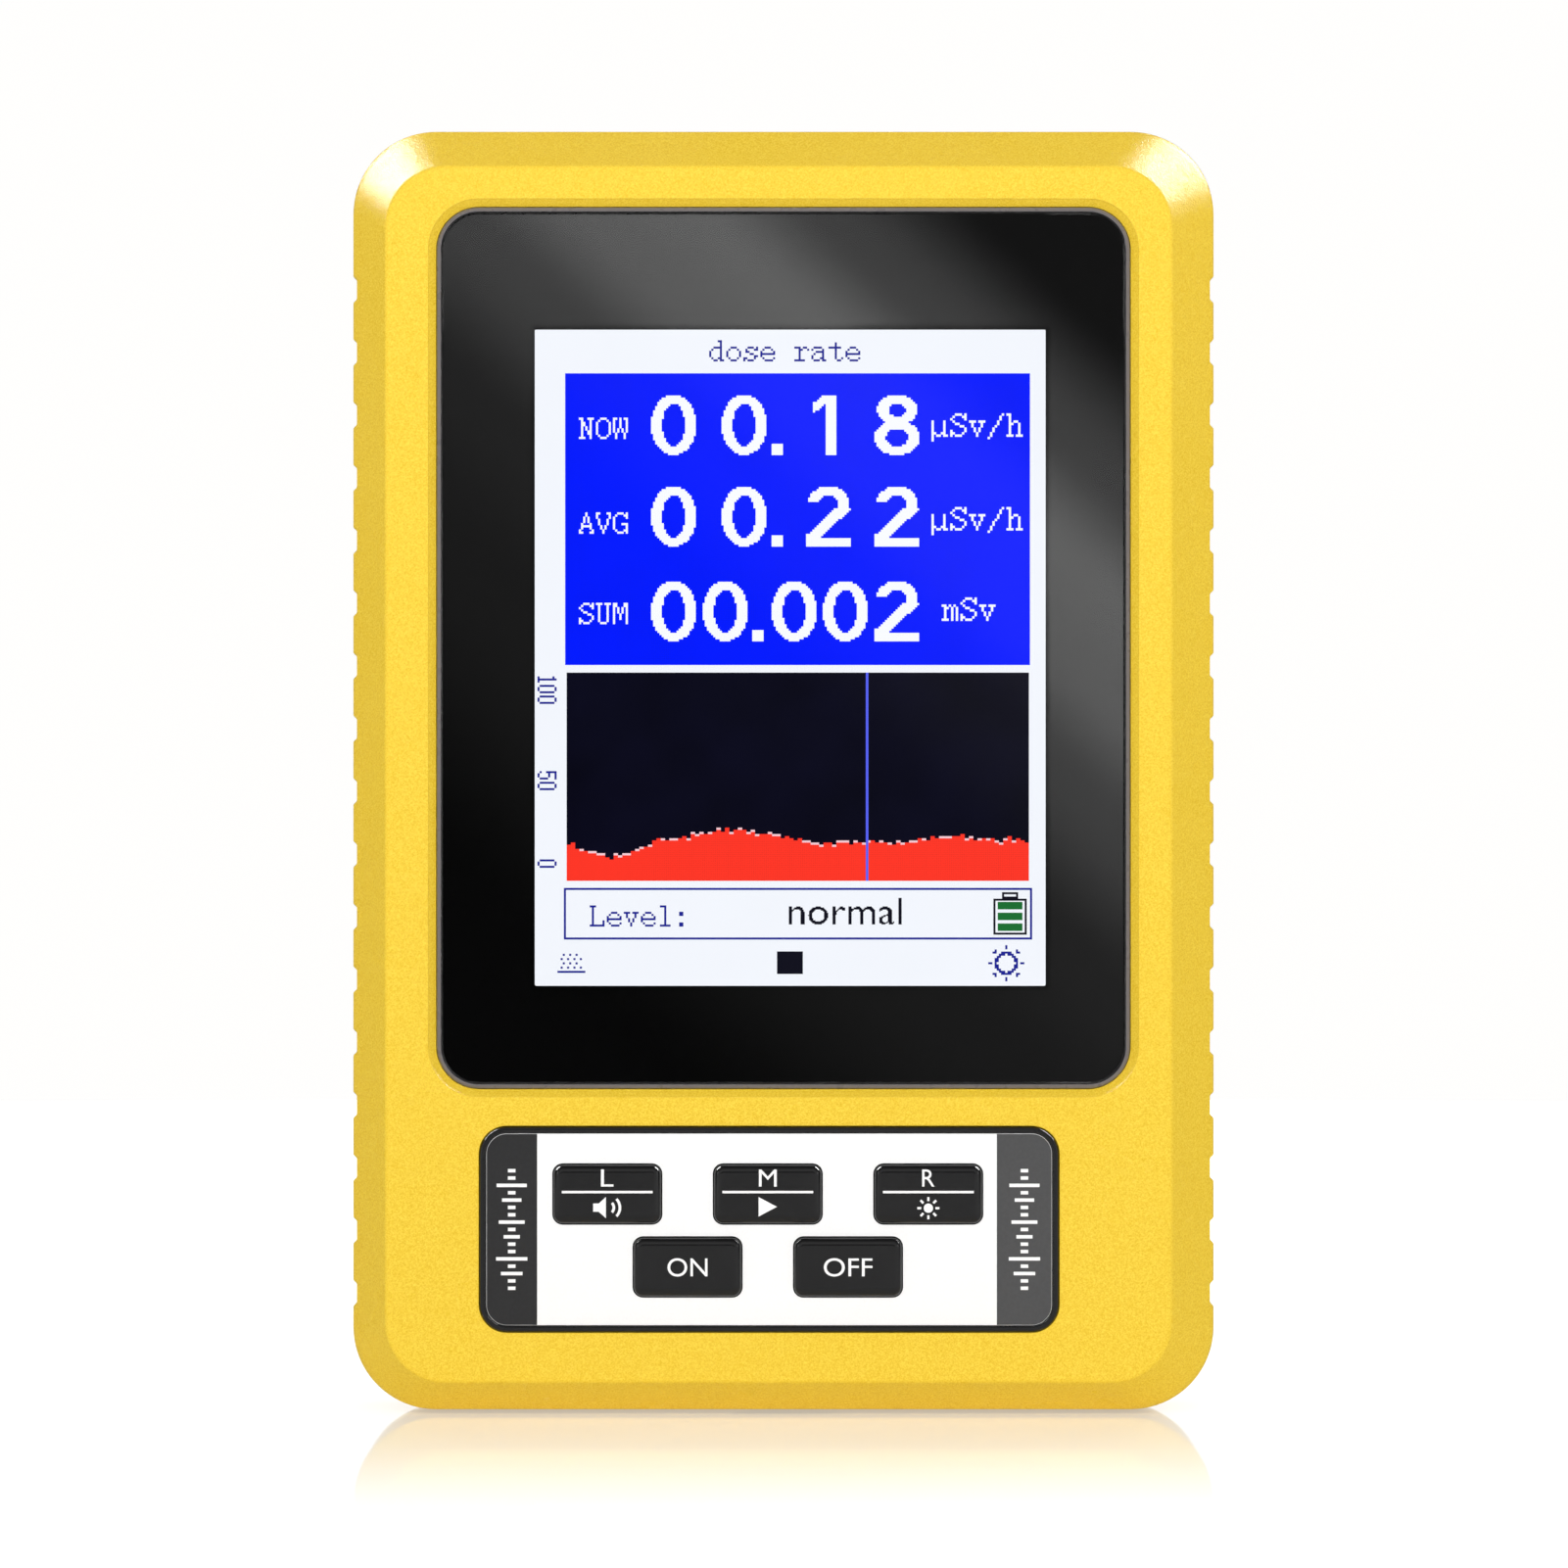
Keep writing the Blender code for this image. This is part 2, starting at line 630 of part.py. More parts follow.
def rear_housing(grips):
    """The back shell, with its tongue, screw pillars, sensor slots and sound holes."""
    inner = inset(OUTER, SIDE_WALL)
    seam_y = PARTING_Y + GAP
    beyond = BACK_Y + CLEAR
    shell = loft(
        "rear_housing",
        [(seam_y, OUTER), (BACK_Y - BACK_CHAMFER, OUTER), (BACK_Y, inset(OUTER, BACK_CHAMFER))],
        CASE_YELLOW,
    )
    tongue = helper_loft(
        "tongue_blank",
        [
            (PARTING_Y - TONGUE_DEPTH, inset(OUTER, TONGUE_INSET)),
            (PARTING_Y + CLEAR, inset(OUTER, TONGUE_INSET)),
        ],
    )
    cavity = helper_loft(
        "rear_cavity",
        [
            (PARTING_Y - TONGUE_DEPTH - CLEAR, inner),
            (BACK_WALL_Y - INNER_SLOPE, inner),
            (BACK_WALL_Y, inset(inner, INNER_SLOPE)),
        ],
    )
    screws = housing_screw_places()
    shank_hole = HOUSING_SCREW_RADIUS + GAP
    counterbore_y = BACK_Y - COUNTERBORE_DEPTH
    pillars = rod_helper("rear_pillars", screws, PILLAR_RADIUS, seam_y, BACK_WALL_Y + PILLAR_SINK)
    shank_holes = rod_helper("shank_holes", screws, shank_hole, PARTING_Y - CLEAR, beyond)
    counterbores = rod_helper("counterbores", screws, COUNTERBORE_RADIUS, counterbore_y, beyond)
    label_recess = slab_cutter(
        "label_recess", [inset(LABEL, -GAP)], BACK_Y - LABEL_RECESS, beyond, steps=4
    )
    slots = slab_cutter(
        "sensor_slots",
        [
            centred(TUBE_X, SLOT_TOP_Z - i * SLOT_PITCH, SLOT_WIDTH, SLOT_HEIGHT, SLOT_HEIGHT / 2.05)
            for i in range(SLOT_COUNT)
        ],
        BACK_WALL_Y - CLEAR,
        beyond,
        steps=3,
    )
    angles = [math.tau * i / SOUND_HOLE_COUNT for i in range(SOUND_HOLE_COUNT)]
    hole_places = [(BUZZER_X, BUZZER_Z)] + [
        (BUZZER_X + SOUND_HOLE_RING * math.cos(a), BUZZER_Z + SOUND_HOLE_RING * math.sin(a))
        for a in angles
    ]
    sound_holes = rod_helper(
        "sound_holes", hole_places, SOUND_HOLE_RADIUS, BACK_WALL_Y - CLEAR, beyond, steps=10
    )
    join(shell, tongue)
    cut(shell, cavity)
    join(shell, pillars)
    cut(shell, shank_holes, counterbores, label_recess, slots, sound_holes, grips)


def rear_label():
    back = BACK_Y - FILM_GAP
    slab("rear_label", LABEL, back - LABEL_THICKNESS, back, LABEL_SILVER, steps=4)


def screw(name, place, seat_y, tip_y, radius, head_radius, head_height):
    """A pan-head screw driven in from the back, with a round recess in its head."""
    x, z = place
    profile = [
        (0, head_height * 0.55),
        (head_radius * 0.42, head_height * 0.55),
        (head_radius * 0.45, head_height),
        (head_radius * 0.75, head_height),
        (head_radius, head_height * 0.6),
        (head_radius, 0),
        (radius, 0),
        (radius, tip_y - seat_y + radius),
        (radius * 0.3, tip_y - seat_y),
        (0, tip_y - seat_y),
    ]
    turned(name, profile, (x, seat_y, z), STEEL, rotation=(-math.pi / 2, 0, 0), steps=12)


def housing_screws():
    seat = BACK_Y - COUNTERBORE_DEPTH + GAP
    for number, place in enumerate(housing_screw_places(), 1):
        screw(
            f"housing_screw_{number}",
            place,
            seat,
            HOUSING_TIP_Y,
            HOUSING_SCREW_RADIUS,
            HOUSING_HEAD_RADIUS,
            HOUSING_HEAD_HEIGHT,
        )


# ---- Window and display ------------------------------------------------------------------------------


def window():
    """The clear lens, the black film that masks its border, and the tape that holds both."""
    front = FACE_Y + LENS_SUNK
    back = front + LENS_THICKNESS
    slab("window_lens", LENS, front, back, CLEAR_ACRYLIC, rim=LENS_RIM)

    mask_front = back + FILM_GAP
    mask_back = mask_front + MASK_THICKNESS
    mask = slab("window_mask", inset(LENS, MASK_INSET), mask_front, mask_back, BLACK_PRINT)
    cut(mask, slab_cutter("mask_opening", [SCREEN], mask_front - CLEAR, mask_back + CLEAR, steps=3))

    tape_front = mask_back + FILM_GAP
    tape_back = tape_front + ADHESIVE_THICKNESS
    tape = slab("window_tape", inset(LENS, ADHESIVE_INSET), tape_front, tape_back, TAPE, steps=4)
    hole = inset(LENS, ADHESIVE_INSET + ADHESIVE_WIDTH)
    cut(tape, slab_cutter("tape_opening", [hole], tape_front - CLEAR, tape_back + CLEAR, steps=4))


def display():
    """The liquid-crystal panel, its backlight and its folded flexible tail."""
    panel = Outline(
        SCREEN.left - DISPLAY_MARGIN_SIDE,
        SCREEN.right + DISPLAY_MARGIN_SIDE,
        SCREEN.bottom - DISPLAY_MARGIN_BOTTOM,
        SCREEN.top + DISPLAY_MARGIN_TOP,
        0.5,
    )
    panel_front = FRONT_WALL_Y + GAP
    panel_back = panel_front + PANEL_THICKNESS
    light_front = panel_back + FILM_GAP
    light_back = light_front + BACKLIGHT_THICKNESS
    glass = inset(panel, PANEL_INSET)
    slab("display_panel", glass, panel_front, panel_back, DISPLAY_GLASS, steps=2)
    slab("display_backlight", panel, light_front, light_back, WHITE_PLASTIC, steps=3)

    start_y = panel_back - FLEX_LAP
    end_y = (light_back + BOARD_FRONT_Y) / 2
    radius = (end_y - start_y) / 2
    bend_z = panel.bottom - FLEX_DROP
    path = [(start_y, panel.bottom + PANEL_INSET - GAP), (start_y, bend_z)]
    for step in range(1, FLEX_BEND_STEPS):
        angle = math.pi * step / FLEX_BEND_STEPS
        path.append((start_y + radius - radius * math.cos(angle), bend_z - radius * math.sin(angle)))
    path += [(end_y, bend_z), (end_y, bend_z + FLEX_TAIL)]
    bm = bmesh.new()
    left = [bm.verts.new((-FLEX_WIDTH / 2 * MM, y * MM, z * MM)) for y, z in path]
    edges = [bm.edges.new(pair) for pair in zip(left, left[1:])]
    swept = bmesh.ops.extrude_edge_only(bm, edges=edges)["geom"]
    moved = [item for item in swept if isinstance(item, bmesh.types.BMVert)]
    bmesh.ops.translate(bm, vec=(FLEX_WIDTH * MM, 0, 0), verts=moved)
    flex = add_object("display_flex", mesh_from(bm, "display_flex"), (0, 0, 0), POLYIMIDE)
    solidify = flex.modifiers.new("thickness", "SOLIDIFY")
    solidify.thickness = FLEX_THICKNESS * MM
    solidify.offset = 0.0


# ---- Keypad ------------------------------------------------------------------------------------------


def keypad_frame():
    """The black bezel and the faceplate that lies in it, both pierced for the five keys."""
    rim_y = FACE_Y - BEZEL_PROUD
    plate_front = rim_y + FACEPLATE_SUNK
    plate_back = plate_front + FACEPLATE_THICKNESS
    holes = slab_cutter(
        "key_holes",
        [
            centred(
                x,
                z,
                KEY_WIDTH + 2 * KEY_CLEARANCE,
                KEY_HEIGHT + 2 * KEY_CLEARANCE,
                KEY_RADIUS + KEY_CLEARANCE,
            )
            for x, z in KEYS.values()
        ],
        rim_y - CLEAR,
        KEYPAD_POCKET_Y + CLEAR,
        steps=3,
    )
    bezel = slab("keypad_bezel", KEYPAD, rim_y, KEYPAD_POCKET_Y - GAP, BLACK_GLOSS, rim=BEZEL_CHAMFER)
    recess = slab_cutter(
        "bezel_recess", [inset(KEYPAD, BEZEL_RIM)], rim_y - CLEAR, plate_back + FILM_GAP
    )
    cut(bezel, recess, holes)
    plate = slab(
        "keypad_faceplate", inset(KEYPAD, BEZEL_RIM + FILM_GAP), plate_front, plate_back, WHITE_PLATE
    )
    cut(plate, holes)


def key_cap_mesh():
    """A crowned cap, the flange that keeps it in, and the post that presses its switch."""
    cap = centred(0, 0, KEY_WIDTH, KEY_HEIGHT, KEY_RADIUS)
    flange = centred(0, 0, KEY_WIDTH + 2 * FLANGE_LIP_X, KEY_HEIGHT + 2 * FLANGE_LIP_Z, KEY_RADIUS)
    post = centred(0, 0, 2 * POST_RADIUS, 2 * POST_RADIUS, POST_RADIUS)
    flange_front = KEYPAD_POCKET_Y - KEY_TOP_Y
    flange_back = flange_front + FLANGE_THICKNESS
    post_end = PLUNGER_TOP_Y - GAP - KEY_TOP_Y
    sections = [
        (0.0, inset(cap, KEY_CROWN)),
        (KEY_CROWN * 0.25, inset(cap, KEY_CROWN * 0.4)),
        (KEY_CROWN, cap),
        (flange_front, cap),
        (flange_front, flange),
        (flange_back, flange),
        (flange_back, post),
        (post_end, post),
    ]
    pattern = loft("key_cap_pattern", sections, None, steps=3, helper=True)
    return pattern.data


def switch_body_mesh():
    """A square switch with a round well that its plunger slides in."""
    square = centred(0, 0, SWITCH_SIZE, SWITCH_SIZE, SWITCH_CORNER)
    well_radius = PLUNGER_RADIUS + GAP
    well = centred(0, 0, 2 * well_radius, 2 * well_radius, well_radius)
    sections = [
        (BOARD_FRONT_Y - GAP - SWITCH_TOP_Y, square),
        (0.0, square),
        (0.0, well),
        (PLUNGER_FOOT_Y + KEY_TRAVEL + GAP - SWITCH_TOP_Y, well),
    ]
    pattern = loft("switch_body_pattern", sections, None, steps=3, helper=True)
    return pattern.data


def keys():
    """Five keys, each an axis that carries its cap and its plunger, over a switch that stays still."""
    cap_mesh = key_cap_mesh()
    body_mesh = switch_body_mesh()
    cap_mesh.materials.append(BLACK_GLOSS)
    body_mesh.materials.append(CHIP_BLACK)
    plunger_length = PLUNGER_FOOT_Y - PLUNGER_TOP_Y
    profile = [
        (0, plunger_length),
        (PLUNGER_RADIUS, plunger_length),
        (PLUNGER_RADIUS, 0),
        (0, 0),
    ]
    for name, (x, z) in KEYS.items():
        axis = bpy.data.objects.new(f"key_axis_{name}", None)
        axis.location = Vector((x, KEY_TOP_Y, z)) * MM
        axis.parent = METER
        PARTS.objects.link(axis)
        add_object(f"key_cap_{name}", cap_mesh, (0, 0, 0), BLACK_GLOSS, parent=axis)
        turned(
            f"key_plunger_{name}",
            profile,
            (0, PLUNGER_FOOT_Y - KEY_TOP_Y, 0),
            WHITE_PLASTIC,
            rotation=(math.pi / 2, 0, 0),
            steps=12,
            parent=axis,
        )
        add_object(f"switch_body_{name}", body_mesh, (x, SWITCH_TOP_Y, z), CHIP_BLACK)


# ---- Circuit board and what it carries ---------------------------------------------------------------


def board():
    plate = slab("main_board", BOARD, BOARD_FRONT_Y, BOARD_BACK_Y, BOARD_GREEN, steps=3)
    hole_radius = BOARD_SCREW_RADIUS + GAP
    holes = rod_helper(
        "board_holes", board_screw_places(), hole_radius, BOARD_FRONT_Y - CLEAR, BOARD_BACK_Y + CLEAR
    )
    cut(plate, holes)
    for number, place in enumerate(board_screw_places(), 1):
        screw(
            f"board_screw_{number}",
            place,
            SEAT_Y,
            BOARD_TIP_Y,
            BOARD_SCREW_RADIUS,
            BOARD_HEAD_RADIUS,
            BOARD_HEAD_HEIGHT,
        )


def tube():
    """The sealed counting tube: glass, metal end caps with pins, and the anode wire down its middle."""
    length = TUBE_LENGTH
    inner = TUBE_RADIUS - TUBE_WALL
    place = (TUBE_X, TUBE_Y, TUBE_BOTTOM_Z)
    glass = [(TUBE_RADIUS, length), (TUBE_RADIUS, 0), (inner, 0), (inner, length)]
    turned("tube_glass", glass, place, TUBE_GLASS, closed=True)

    cap_inner = TUBE_RADIUS + GAP
    cap_outer = cap_inner + TUBE_CAP_WALL
    floor = -GAP
    outside = floor - TUBE_CAP_WALL
    cap = [
        (0, floor),
        (cap_inner, floor),
        (cap_inner, TUBE_CAP_LENGTH),
        (cap_outer, TUBE_CAP_LENGTH),
        (cap_outer, outside),
        (TUBE_PIN_RADIUS, outside),
        (TUBE_PIN_RADIUS, outside - TUBE_PIN_LENGTH),
        (0, outside - TUBE_PIN_LENGTH),
    ]
    turned("tube_cathode_cap", cap, place, TIN)
    turned(
        "tube_anode_cap",
        cap,
        (TUBE_X, TUBE_Y, TUBE_BOTTOM_Z + length),
        TIN,
        rotation=(math.pi, 0, 0),
    )
    anode = [(0, length), (ANODE_RADIUS, length), (ANODE_RADIUS, 0), (0, 0)]
    turned("tube_anode_wire", anode, place, STEEL, steps=8)


def clip_points():
    """A C that grips the tube, open to the back, on a foot that reaches the board."""
    inner = TUBE_RADIUS + GAP + TUBE_CAP_WALL + GAP
    outer = inner + CLIP_WALL
    foot_half = CLIP_FOOT / 2
    foot_y = SEAT_Y - TUBE_Y
    steps = 11
    first = math.pi / 2 - CLIP_OPENING / 2
    foot_angle = -math.pi / 2 + math.asin(foot_half / outer)
    right = [first + (foot_angle - first) * i / steps for i in range(steps + 1)]
    outside = [(outer * math.cos(a), outer * math.sin(a)) for a in right]
    outside += [(foot_half, foot_y), (-foot_half, foot_y)]
    outside += [(-outer * math.cos(a), outer * math.sin(a)) for a in reversed(right)]
    last = math.pi - first
    span = last - (first + math.tau)
    inside = [last - span * i / (2 * steps) for i in range(2 * steps + 1)]
    return outside + [(inner * math.cos(a), inner * math.sin(a)) for a in inside]


def clips():
    points = clip_points()
    for name, z in (
        ("tube_clip_lower", TUBE_BOTTOM_Z + TUBE_CAP_LENGTH / 2),
        ("tube_clip_upper", TUBE_BOTTOM_Z + TUBE_LENGTH - TUBE_CAP_LENGTH / 2),
    ):
        extruded(name, points, CLIP_HEIGHT, (TUBE_X, TUBE_Y, z), BRASS)


def high_voltage_supply():
    """The drum inductor and the capacitor that raise the tube's supply to about 400 volts."""
    waist_low = INDUCTOR_FLANGE + INDUCTOR_SLOPE
    drum = [
        (0, INDUCTOR_HEIGHT),
        (INDUCTOR_RADIUS, INDUCTOR_HEIGHT),
        (INDUCTOR_RADIUS, INDUCTOR_HEIGHT - INDUCTOR_FLANGE),
        (INDUCTOR_WAIST, INDUCTOR_HEIGHT - waist_low),
        (INDUCTOR_WAIST, waist_low),
        (INDUCTOR_RADIUS, INDUCTOR_FLANGE),
        (INDUCTOR_RADIUS, 0),
        (0, 0),
    ]
    place = (INDUCTOR_X, SEAT_Y, INDUCTOR_Z)
    turned("supply_inductor", drum, place, FERRITE, rotation=(-math.pi / 2, 0, 0))
    capacitor_back = SEAT_Y + CAPACITOR_HEIGHT
    slab("supply_capacitor", CAPACITOR, SEAT_Y, capacitor_back, CERAMIC_BLUE, steps=3)


def chips():
    controller_back = SEAT_Y + CONTROLLER_HEIGHT
    slab("microcontroller", CONTROLLER, SEAT_Y, controller_back, CHIP_BLACK, steps=2)
    slab("charger_chip", CHARGER, SEAT_Y, SEAT_Y + CHARGER_HEIGHT, CHIP_BLACK, steps=2)
    slab("crystal", CRYSTAL, SEAT_Y, SEAT_Y + CRYSTAL_HEIGHT, TIN, steps=4)


def buzzer():
    """A round sounder whose port faces the holes in the back."""
    profile = [
        (0, BUZZER_HEIGHT - BUZZER_PORT_DEPTH),
        (BUZZER_PORT_RADIUS, BUZZER_HEIGHT - BUZZER_PORT_DEPTH),
        (BUZZER_PORT_RADIUS, BUZZER_HEIGHT),
        (BUZZER_RADIUS - BUZZER_EDGE, BUZZER_HEIGHT),
        (BUZZER_RADIUS, BUZZER_HEIGHT - BUZZER_EDGE),
        (BUZZER_RADIUS, 0),
        (0, 0),
    ]
    place = (BUZZER_X, SEAT_Y, BUZZER_Z)
    turned("buzzer", profile, place, CHIP_BLACK, rotation=(-math.pi / 2, 0, 0), steps=24)


# ---- Power -------------------------------------------------------------------------------------------


def battery():
    """A flat rechargeable cell taped to the back shell, its two leads and their plug."""
    front = BATTERY_BACK_Y - BATTERY_THICKNESS
    pad = inset(BATTERY, BATTERY_TAPE_INSET)
    slab("battery_cell", BATTERY, front, BATTERY_BACK_Y, BATTERY_FOIL, steps=4, rim=BATTERY_EDGE)
    slab("battery_tape", pad, BATTERY_BACK_Y + FILM_GAP, BACK_WALL_Y - FILM_GAP, TAPE, steps=2)

    header_back = SEAT_Y + HEADER_DEPTH
    socket_floor = SEAT_Y + HEADER_FLOOR
    header = slab("battery_header", HEADER, SEAT_Y, header_back, WHITE_PLASTIC, steps=2)
    socket = inset(HEADER, HEADER_WALL)
    cut(header, slab_cutter("header_socket", [socket], socket_floor, header_back + CLEAR, steps=2))
    plug = inset(HEADER, HEADER_WALL + GAP)
    plug_back = header_back + PLUG_PROUD
    slab("battery_plug", plug, socket_floor + GAP, plug_back, WHITE_PLASTIC, steps=2)

    centre_x = (HEADER.left + HEADER.right) / 2
    plug_z = (HEADER.bottom + HEADER.top) / 2
    cell_y = (front + BATTERY_BACK_Y) / 2
    for name, side, material in (
        ("battery_lead_positive", 1, WIRE_RED),
        ("battery_lead_negative", -1, WIRE_BLACK),
    ):
        x = centre_x + side * LEAD_SPREAD_PLUG
        start_x = centre_x + side * LEAD_SPREAD_CELL
        points = [
            (x, plug_back + GAP, plug_z),
            (x, plug_back + 2.0, plug_z - 0.2),
            (x + side * 0.5, plug_back + LEAD_LOOP, plug_z - 2.0),
            (start_x, plug_back + LEAD_LOOP, plug_z - 5.0),
            (start_x, cell_y + 0.4, BATTERY.top + 2.2),
            (start_x, cell_y, BATTERY.top + GAP),
        ]
        wire(name, points, material)


def charging_socket():
    """The metal shell of the socket, open downwards, and the contact tongue inside it."""
    outside = centred(0, 0, SOCKET_WIDTH, SOCKET_DEPTH, SOCKET_DEPTH / 2 - 0.1)
    inside = inset(outside, SOCKET_WALL)
    sections = [
        (0.0, outside),
        (SOCKET_LENGTH, outside),
        (SOCKET_LENGTH, inside),
        (SOCKET_FLOOR, inside),
    ]
    top = SOCKET_MOUTH_Z + SOCKET_LENGTH
    face_down(loft("charging_socket", sections, TIN, steps=5), top)

    low = SOCKET_MOUTH_Z + SOCKET_TONGUE_SUNK
    high = top - SOCKET_FLOOR - GAP
    tongue = centred(PORT_X, (low + high) / 2, SOCKET_TONGUE_WIDTH, high - low, 0.3)
    half = SOCKET_TONGUE_THICKNESS / 2
    slab("socket_tongue", tongue, PORT_Y - half, PORT_Y + half, CHIP_BLACK, steps=2)


def build():
    grips = grip_cutter()
    front_housing(grips)
    rear_housing(grips)
    rear_label()
    housing_screws()
    window()
    display()
    keypad_frame()
    keys()
    board()
    tube()
    clips()
    high_voltage_supply()
    chips()
    buzzer()
    battery()
    charging_socket()


build()
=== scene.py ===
"""Looks for the hand-held Geiger counter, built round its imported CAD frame.

The front faces -Y, +X is to the right of it, and +Z is up. Sizes are in millimetres, and the frame gives the
places: box_of("node") is the outline of a CAD node, and y_of("node") its front and back.
"""

import json
import math
import random
from collections import namedtuple

import bmesh
import bpy
from mathutils import Matrix, Vector
from mathutils.bvhtree import BVHTree

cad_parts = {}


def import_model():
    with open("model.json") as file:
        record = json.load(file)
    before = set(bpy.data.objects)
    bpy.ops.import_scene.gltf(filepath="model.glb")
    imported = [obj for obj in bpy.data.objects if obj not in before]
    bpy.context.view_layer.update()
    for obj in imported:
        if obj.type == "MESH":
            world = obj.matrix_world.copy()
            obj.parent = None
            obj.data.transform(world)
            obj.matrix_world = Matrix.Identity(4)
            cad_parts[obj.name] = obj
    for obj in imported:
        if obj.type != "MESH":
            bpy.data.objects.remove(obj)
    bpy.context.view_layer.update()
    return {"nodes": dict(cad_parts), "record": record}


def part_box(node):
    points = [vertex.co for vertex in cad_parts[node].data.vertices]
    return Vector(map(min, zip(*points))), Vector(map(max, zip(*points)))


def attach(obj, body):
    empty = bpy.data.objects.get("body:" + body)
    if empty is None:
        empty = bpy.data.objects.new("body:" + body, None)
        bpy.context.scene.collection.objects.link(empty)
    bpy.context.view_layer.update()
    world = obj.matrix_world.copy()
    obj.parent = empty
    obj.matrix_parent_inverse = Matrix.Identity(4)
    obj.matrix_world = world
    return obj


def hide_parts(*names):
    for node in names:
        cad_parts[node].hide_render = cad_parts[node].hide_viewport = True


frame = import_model()

MM = 0.001
ROOT = "meter_body"

# A rounded rectangle in X and Z.
Outline = namedtuple("Outline", "left right bottom top radius")

# ---- Sizes that the frame doesn't give ---------------------------------

SCREEN_LEFT = -23.1
SCREEN_BOTTOM = 39.4
SCREEN_WIDTH = 47.45
SCREEN_HEIGHT = 60.95
LCD_PITCH = SCREEN_WIDTH / 240

CORNER_RADIUS = 7.7
FACE_RADIUS = 5.6
FACE_CHAMFER = {"left": 3.2, "right": 4.1, "top": 3.5, "bottom": 2.8}
CHAMFER_DEPTH = 3.6
BACK_CHAMFER = 2.5
EDGE_ROUND = 0.25
RUN_OUT_ROUND = 0.7 * EDGE_ROUND
SEAM_ROUND = 0.12
SEAM_SHELF = 0.5
FACE_BORDER = 1.0
SIDE_WALL = 2.0
FRONT_WALL = 3.0
BACK_WALL = 2.0
INNER_SLOPE = 1.8
GAP = 0.3
CLEAR = 1.0
FILM_GAP = 0.1
FINE_LIP = 0.12
TONGUE_DEPTH = 1.2
TONGUE_INSET = 1.15
GROOVE_INSET = 0.9
ARC_STEPS = 20
ROUND_STEPS = 32
LIP_CURVE = 3

GRIP_COUNT = 17
GRIP_PITCH = 5.83
GRIP_TOP_Z = 104.1
GRIP_DEPTH = 0.36
GRIP_FLOOR = 0.8
GRIP_MOUTH = 1.25

LENS_RADIUS = 3.9
LENS_FIT = 0.08
GUTTER_WIDTH = 0.8
GUTTER_STEP = 0.12
GUTTER_DEPTH = 0.75
LENS_LEDGE_DEPTH = 2.2
DISPLAY_OPENING_MARGIN = 2.5
BORDER_INSET = 0.03
LENS_RIM = ((0.0, 0.62), (0.012, 0.5), (0.05, 0.38), (0.34, 0.05), (0.45, 0.0))

KEYPAD_RADIUS = 2.5
KEYPAD_POCKET_DEPTH = 2.2
KEYPAD_FIT = 0.08
KEYPAD_LEDGE = 1.7
BEZEL_RIM = 0.5
BEZEL_EDGE = 0.22
RECESS_LIP = 0.1
PLATE_EDGE = 0.05
BAND_INSET = 0.04
BAND_LEFT_END = -22.8
BAND_RIGHT_START = 19.75
BAND_LIFT = 0.005
BAND_THICKNESS = 0.025
MARK_PITCH = 0.68
MARK_WIDTH = 0.32
MARK_LENGTHS = (0.7, 0.7, 2.0, 0.7, 2.9, 0.7, 0.7, 1.5, 0.7, 2.4, 0.7, 0.7, 1.8, 0.7, 2.8, 0.7, 0.7)
KEY_WIDTH = 9.95
KEY_HEIGHT = 5.45
KEY_RADIUS = 0.85
KEY_CLEARANCE = 0.12
KEY_EDGE = 0.75
KEY_EDGE_FLATNESS = 0.75
KEY_FLANGE_DEPTH = 3.0
KEY_FLANGE_THICKNESS = 0.6
KEY_POST_SIZE = 3.0
KEY_POST_RADIUS = 1.45
PRINT_THICKNESS = 0.02
KEYS = ("sound", "play", "light", "on", "off")

PILLAR_SINK = 0.5
SCREW_PILLAR_RADIUS = 3.2
SCREW_HOLE_RADIUS = 1.5
BOARD_POST_RADIUS = 2.4
BOARD_HOLE_RADIUS = 1.1
COUNTERBORE_RADIUS = 2.75
COUNTERBORE_DEPTH = 3.0
COUNTERBORE_LIP = 0.25

SCREW_HEAD_DEPTH = 1.7
SCREW_DOME = ((0.45, 0.03), (0.75, 0.2), (0.92, 0.55), (1.0, 1.0))
THREAD_RADIUS = 1.2
THREAD_ROOT = 0.95
THREAD_PITCH = 0.9
THREAD_TURN = ((THREAD_RADIUS, 0.0), (THREAD_ROOT, 0.3), (THREAD_ROOT, 0.5), (THREAD_RADIUS, 0.8))
TIP_RADIUS = 0.4
RECESS_DEPTH = 0.9
RECESS_TAPER = (0.75, 1.4)
RECESS_CORNER = ((1.3, 0.28), (0.28, 0.28), (0.28, 1.3))

SLOT_COUNT = 7
SLOT_PITCH = 6.0
SLOT_SIZE = (12.0, 1.8)
SLOT_TOP_Z = 92.0
SOUND_HOLE_RADIUS = 0.9
SOUND_HOLE_RING = 3.2
SOUND_HOLE_COUNT = 6
SOUND_HOLE_LIP = 0.15
SLOT_LIP = 0.2
PORT_LIP = 0.25

LABEL_RADIUS = 2.0
LABEL_BORDER = (1.4, 1.65)
LABEL_ROWS = 6
LABEL_LINE = 0.12


# ---- Outlines and places -----------------------------------------------


def box_of(node, radius=0.3):
    low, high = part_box(node)
    return Outline(low.x / MM, high.x / MM, low.z / MM, high.z / MM, radius)


def y_of(node):
    low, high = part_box(node)
    return low.y / MM, high.y / MM


def inset(outline, distance):
    return Outline(
        outline.left + distance,
        outline.right - distance,
        outline.bottom + distance,
        outline.top - distance,
        max(outline.radius - distance, 0.05),
    )


def centre_of(outline):
    return (outline.left + outline.right) / 2, (outline.bottom + outline.top) / 2


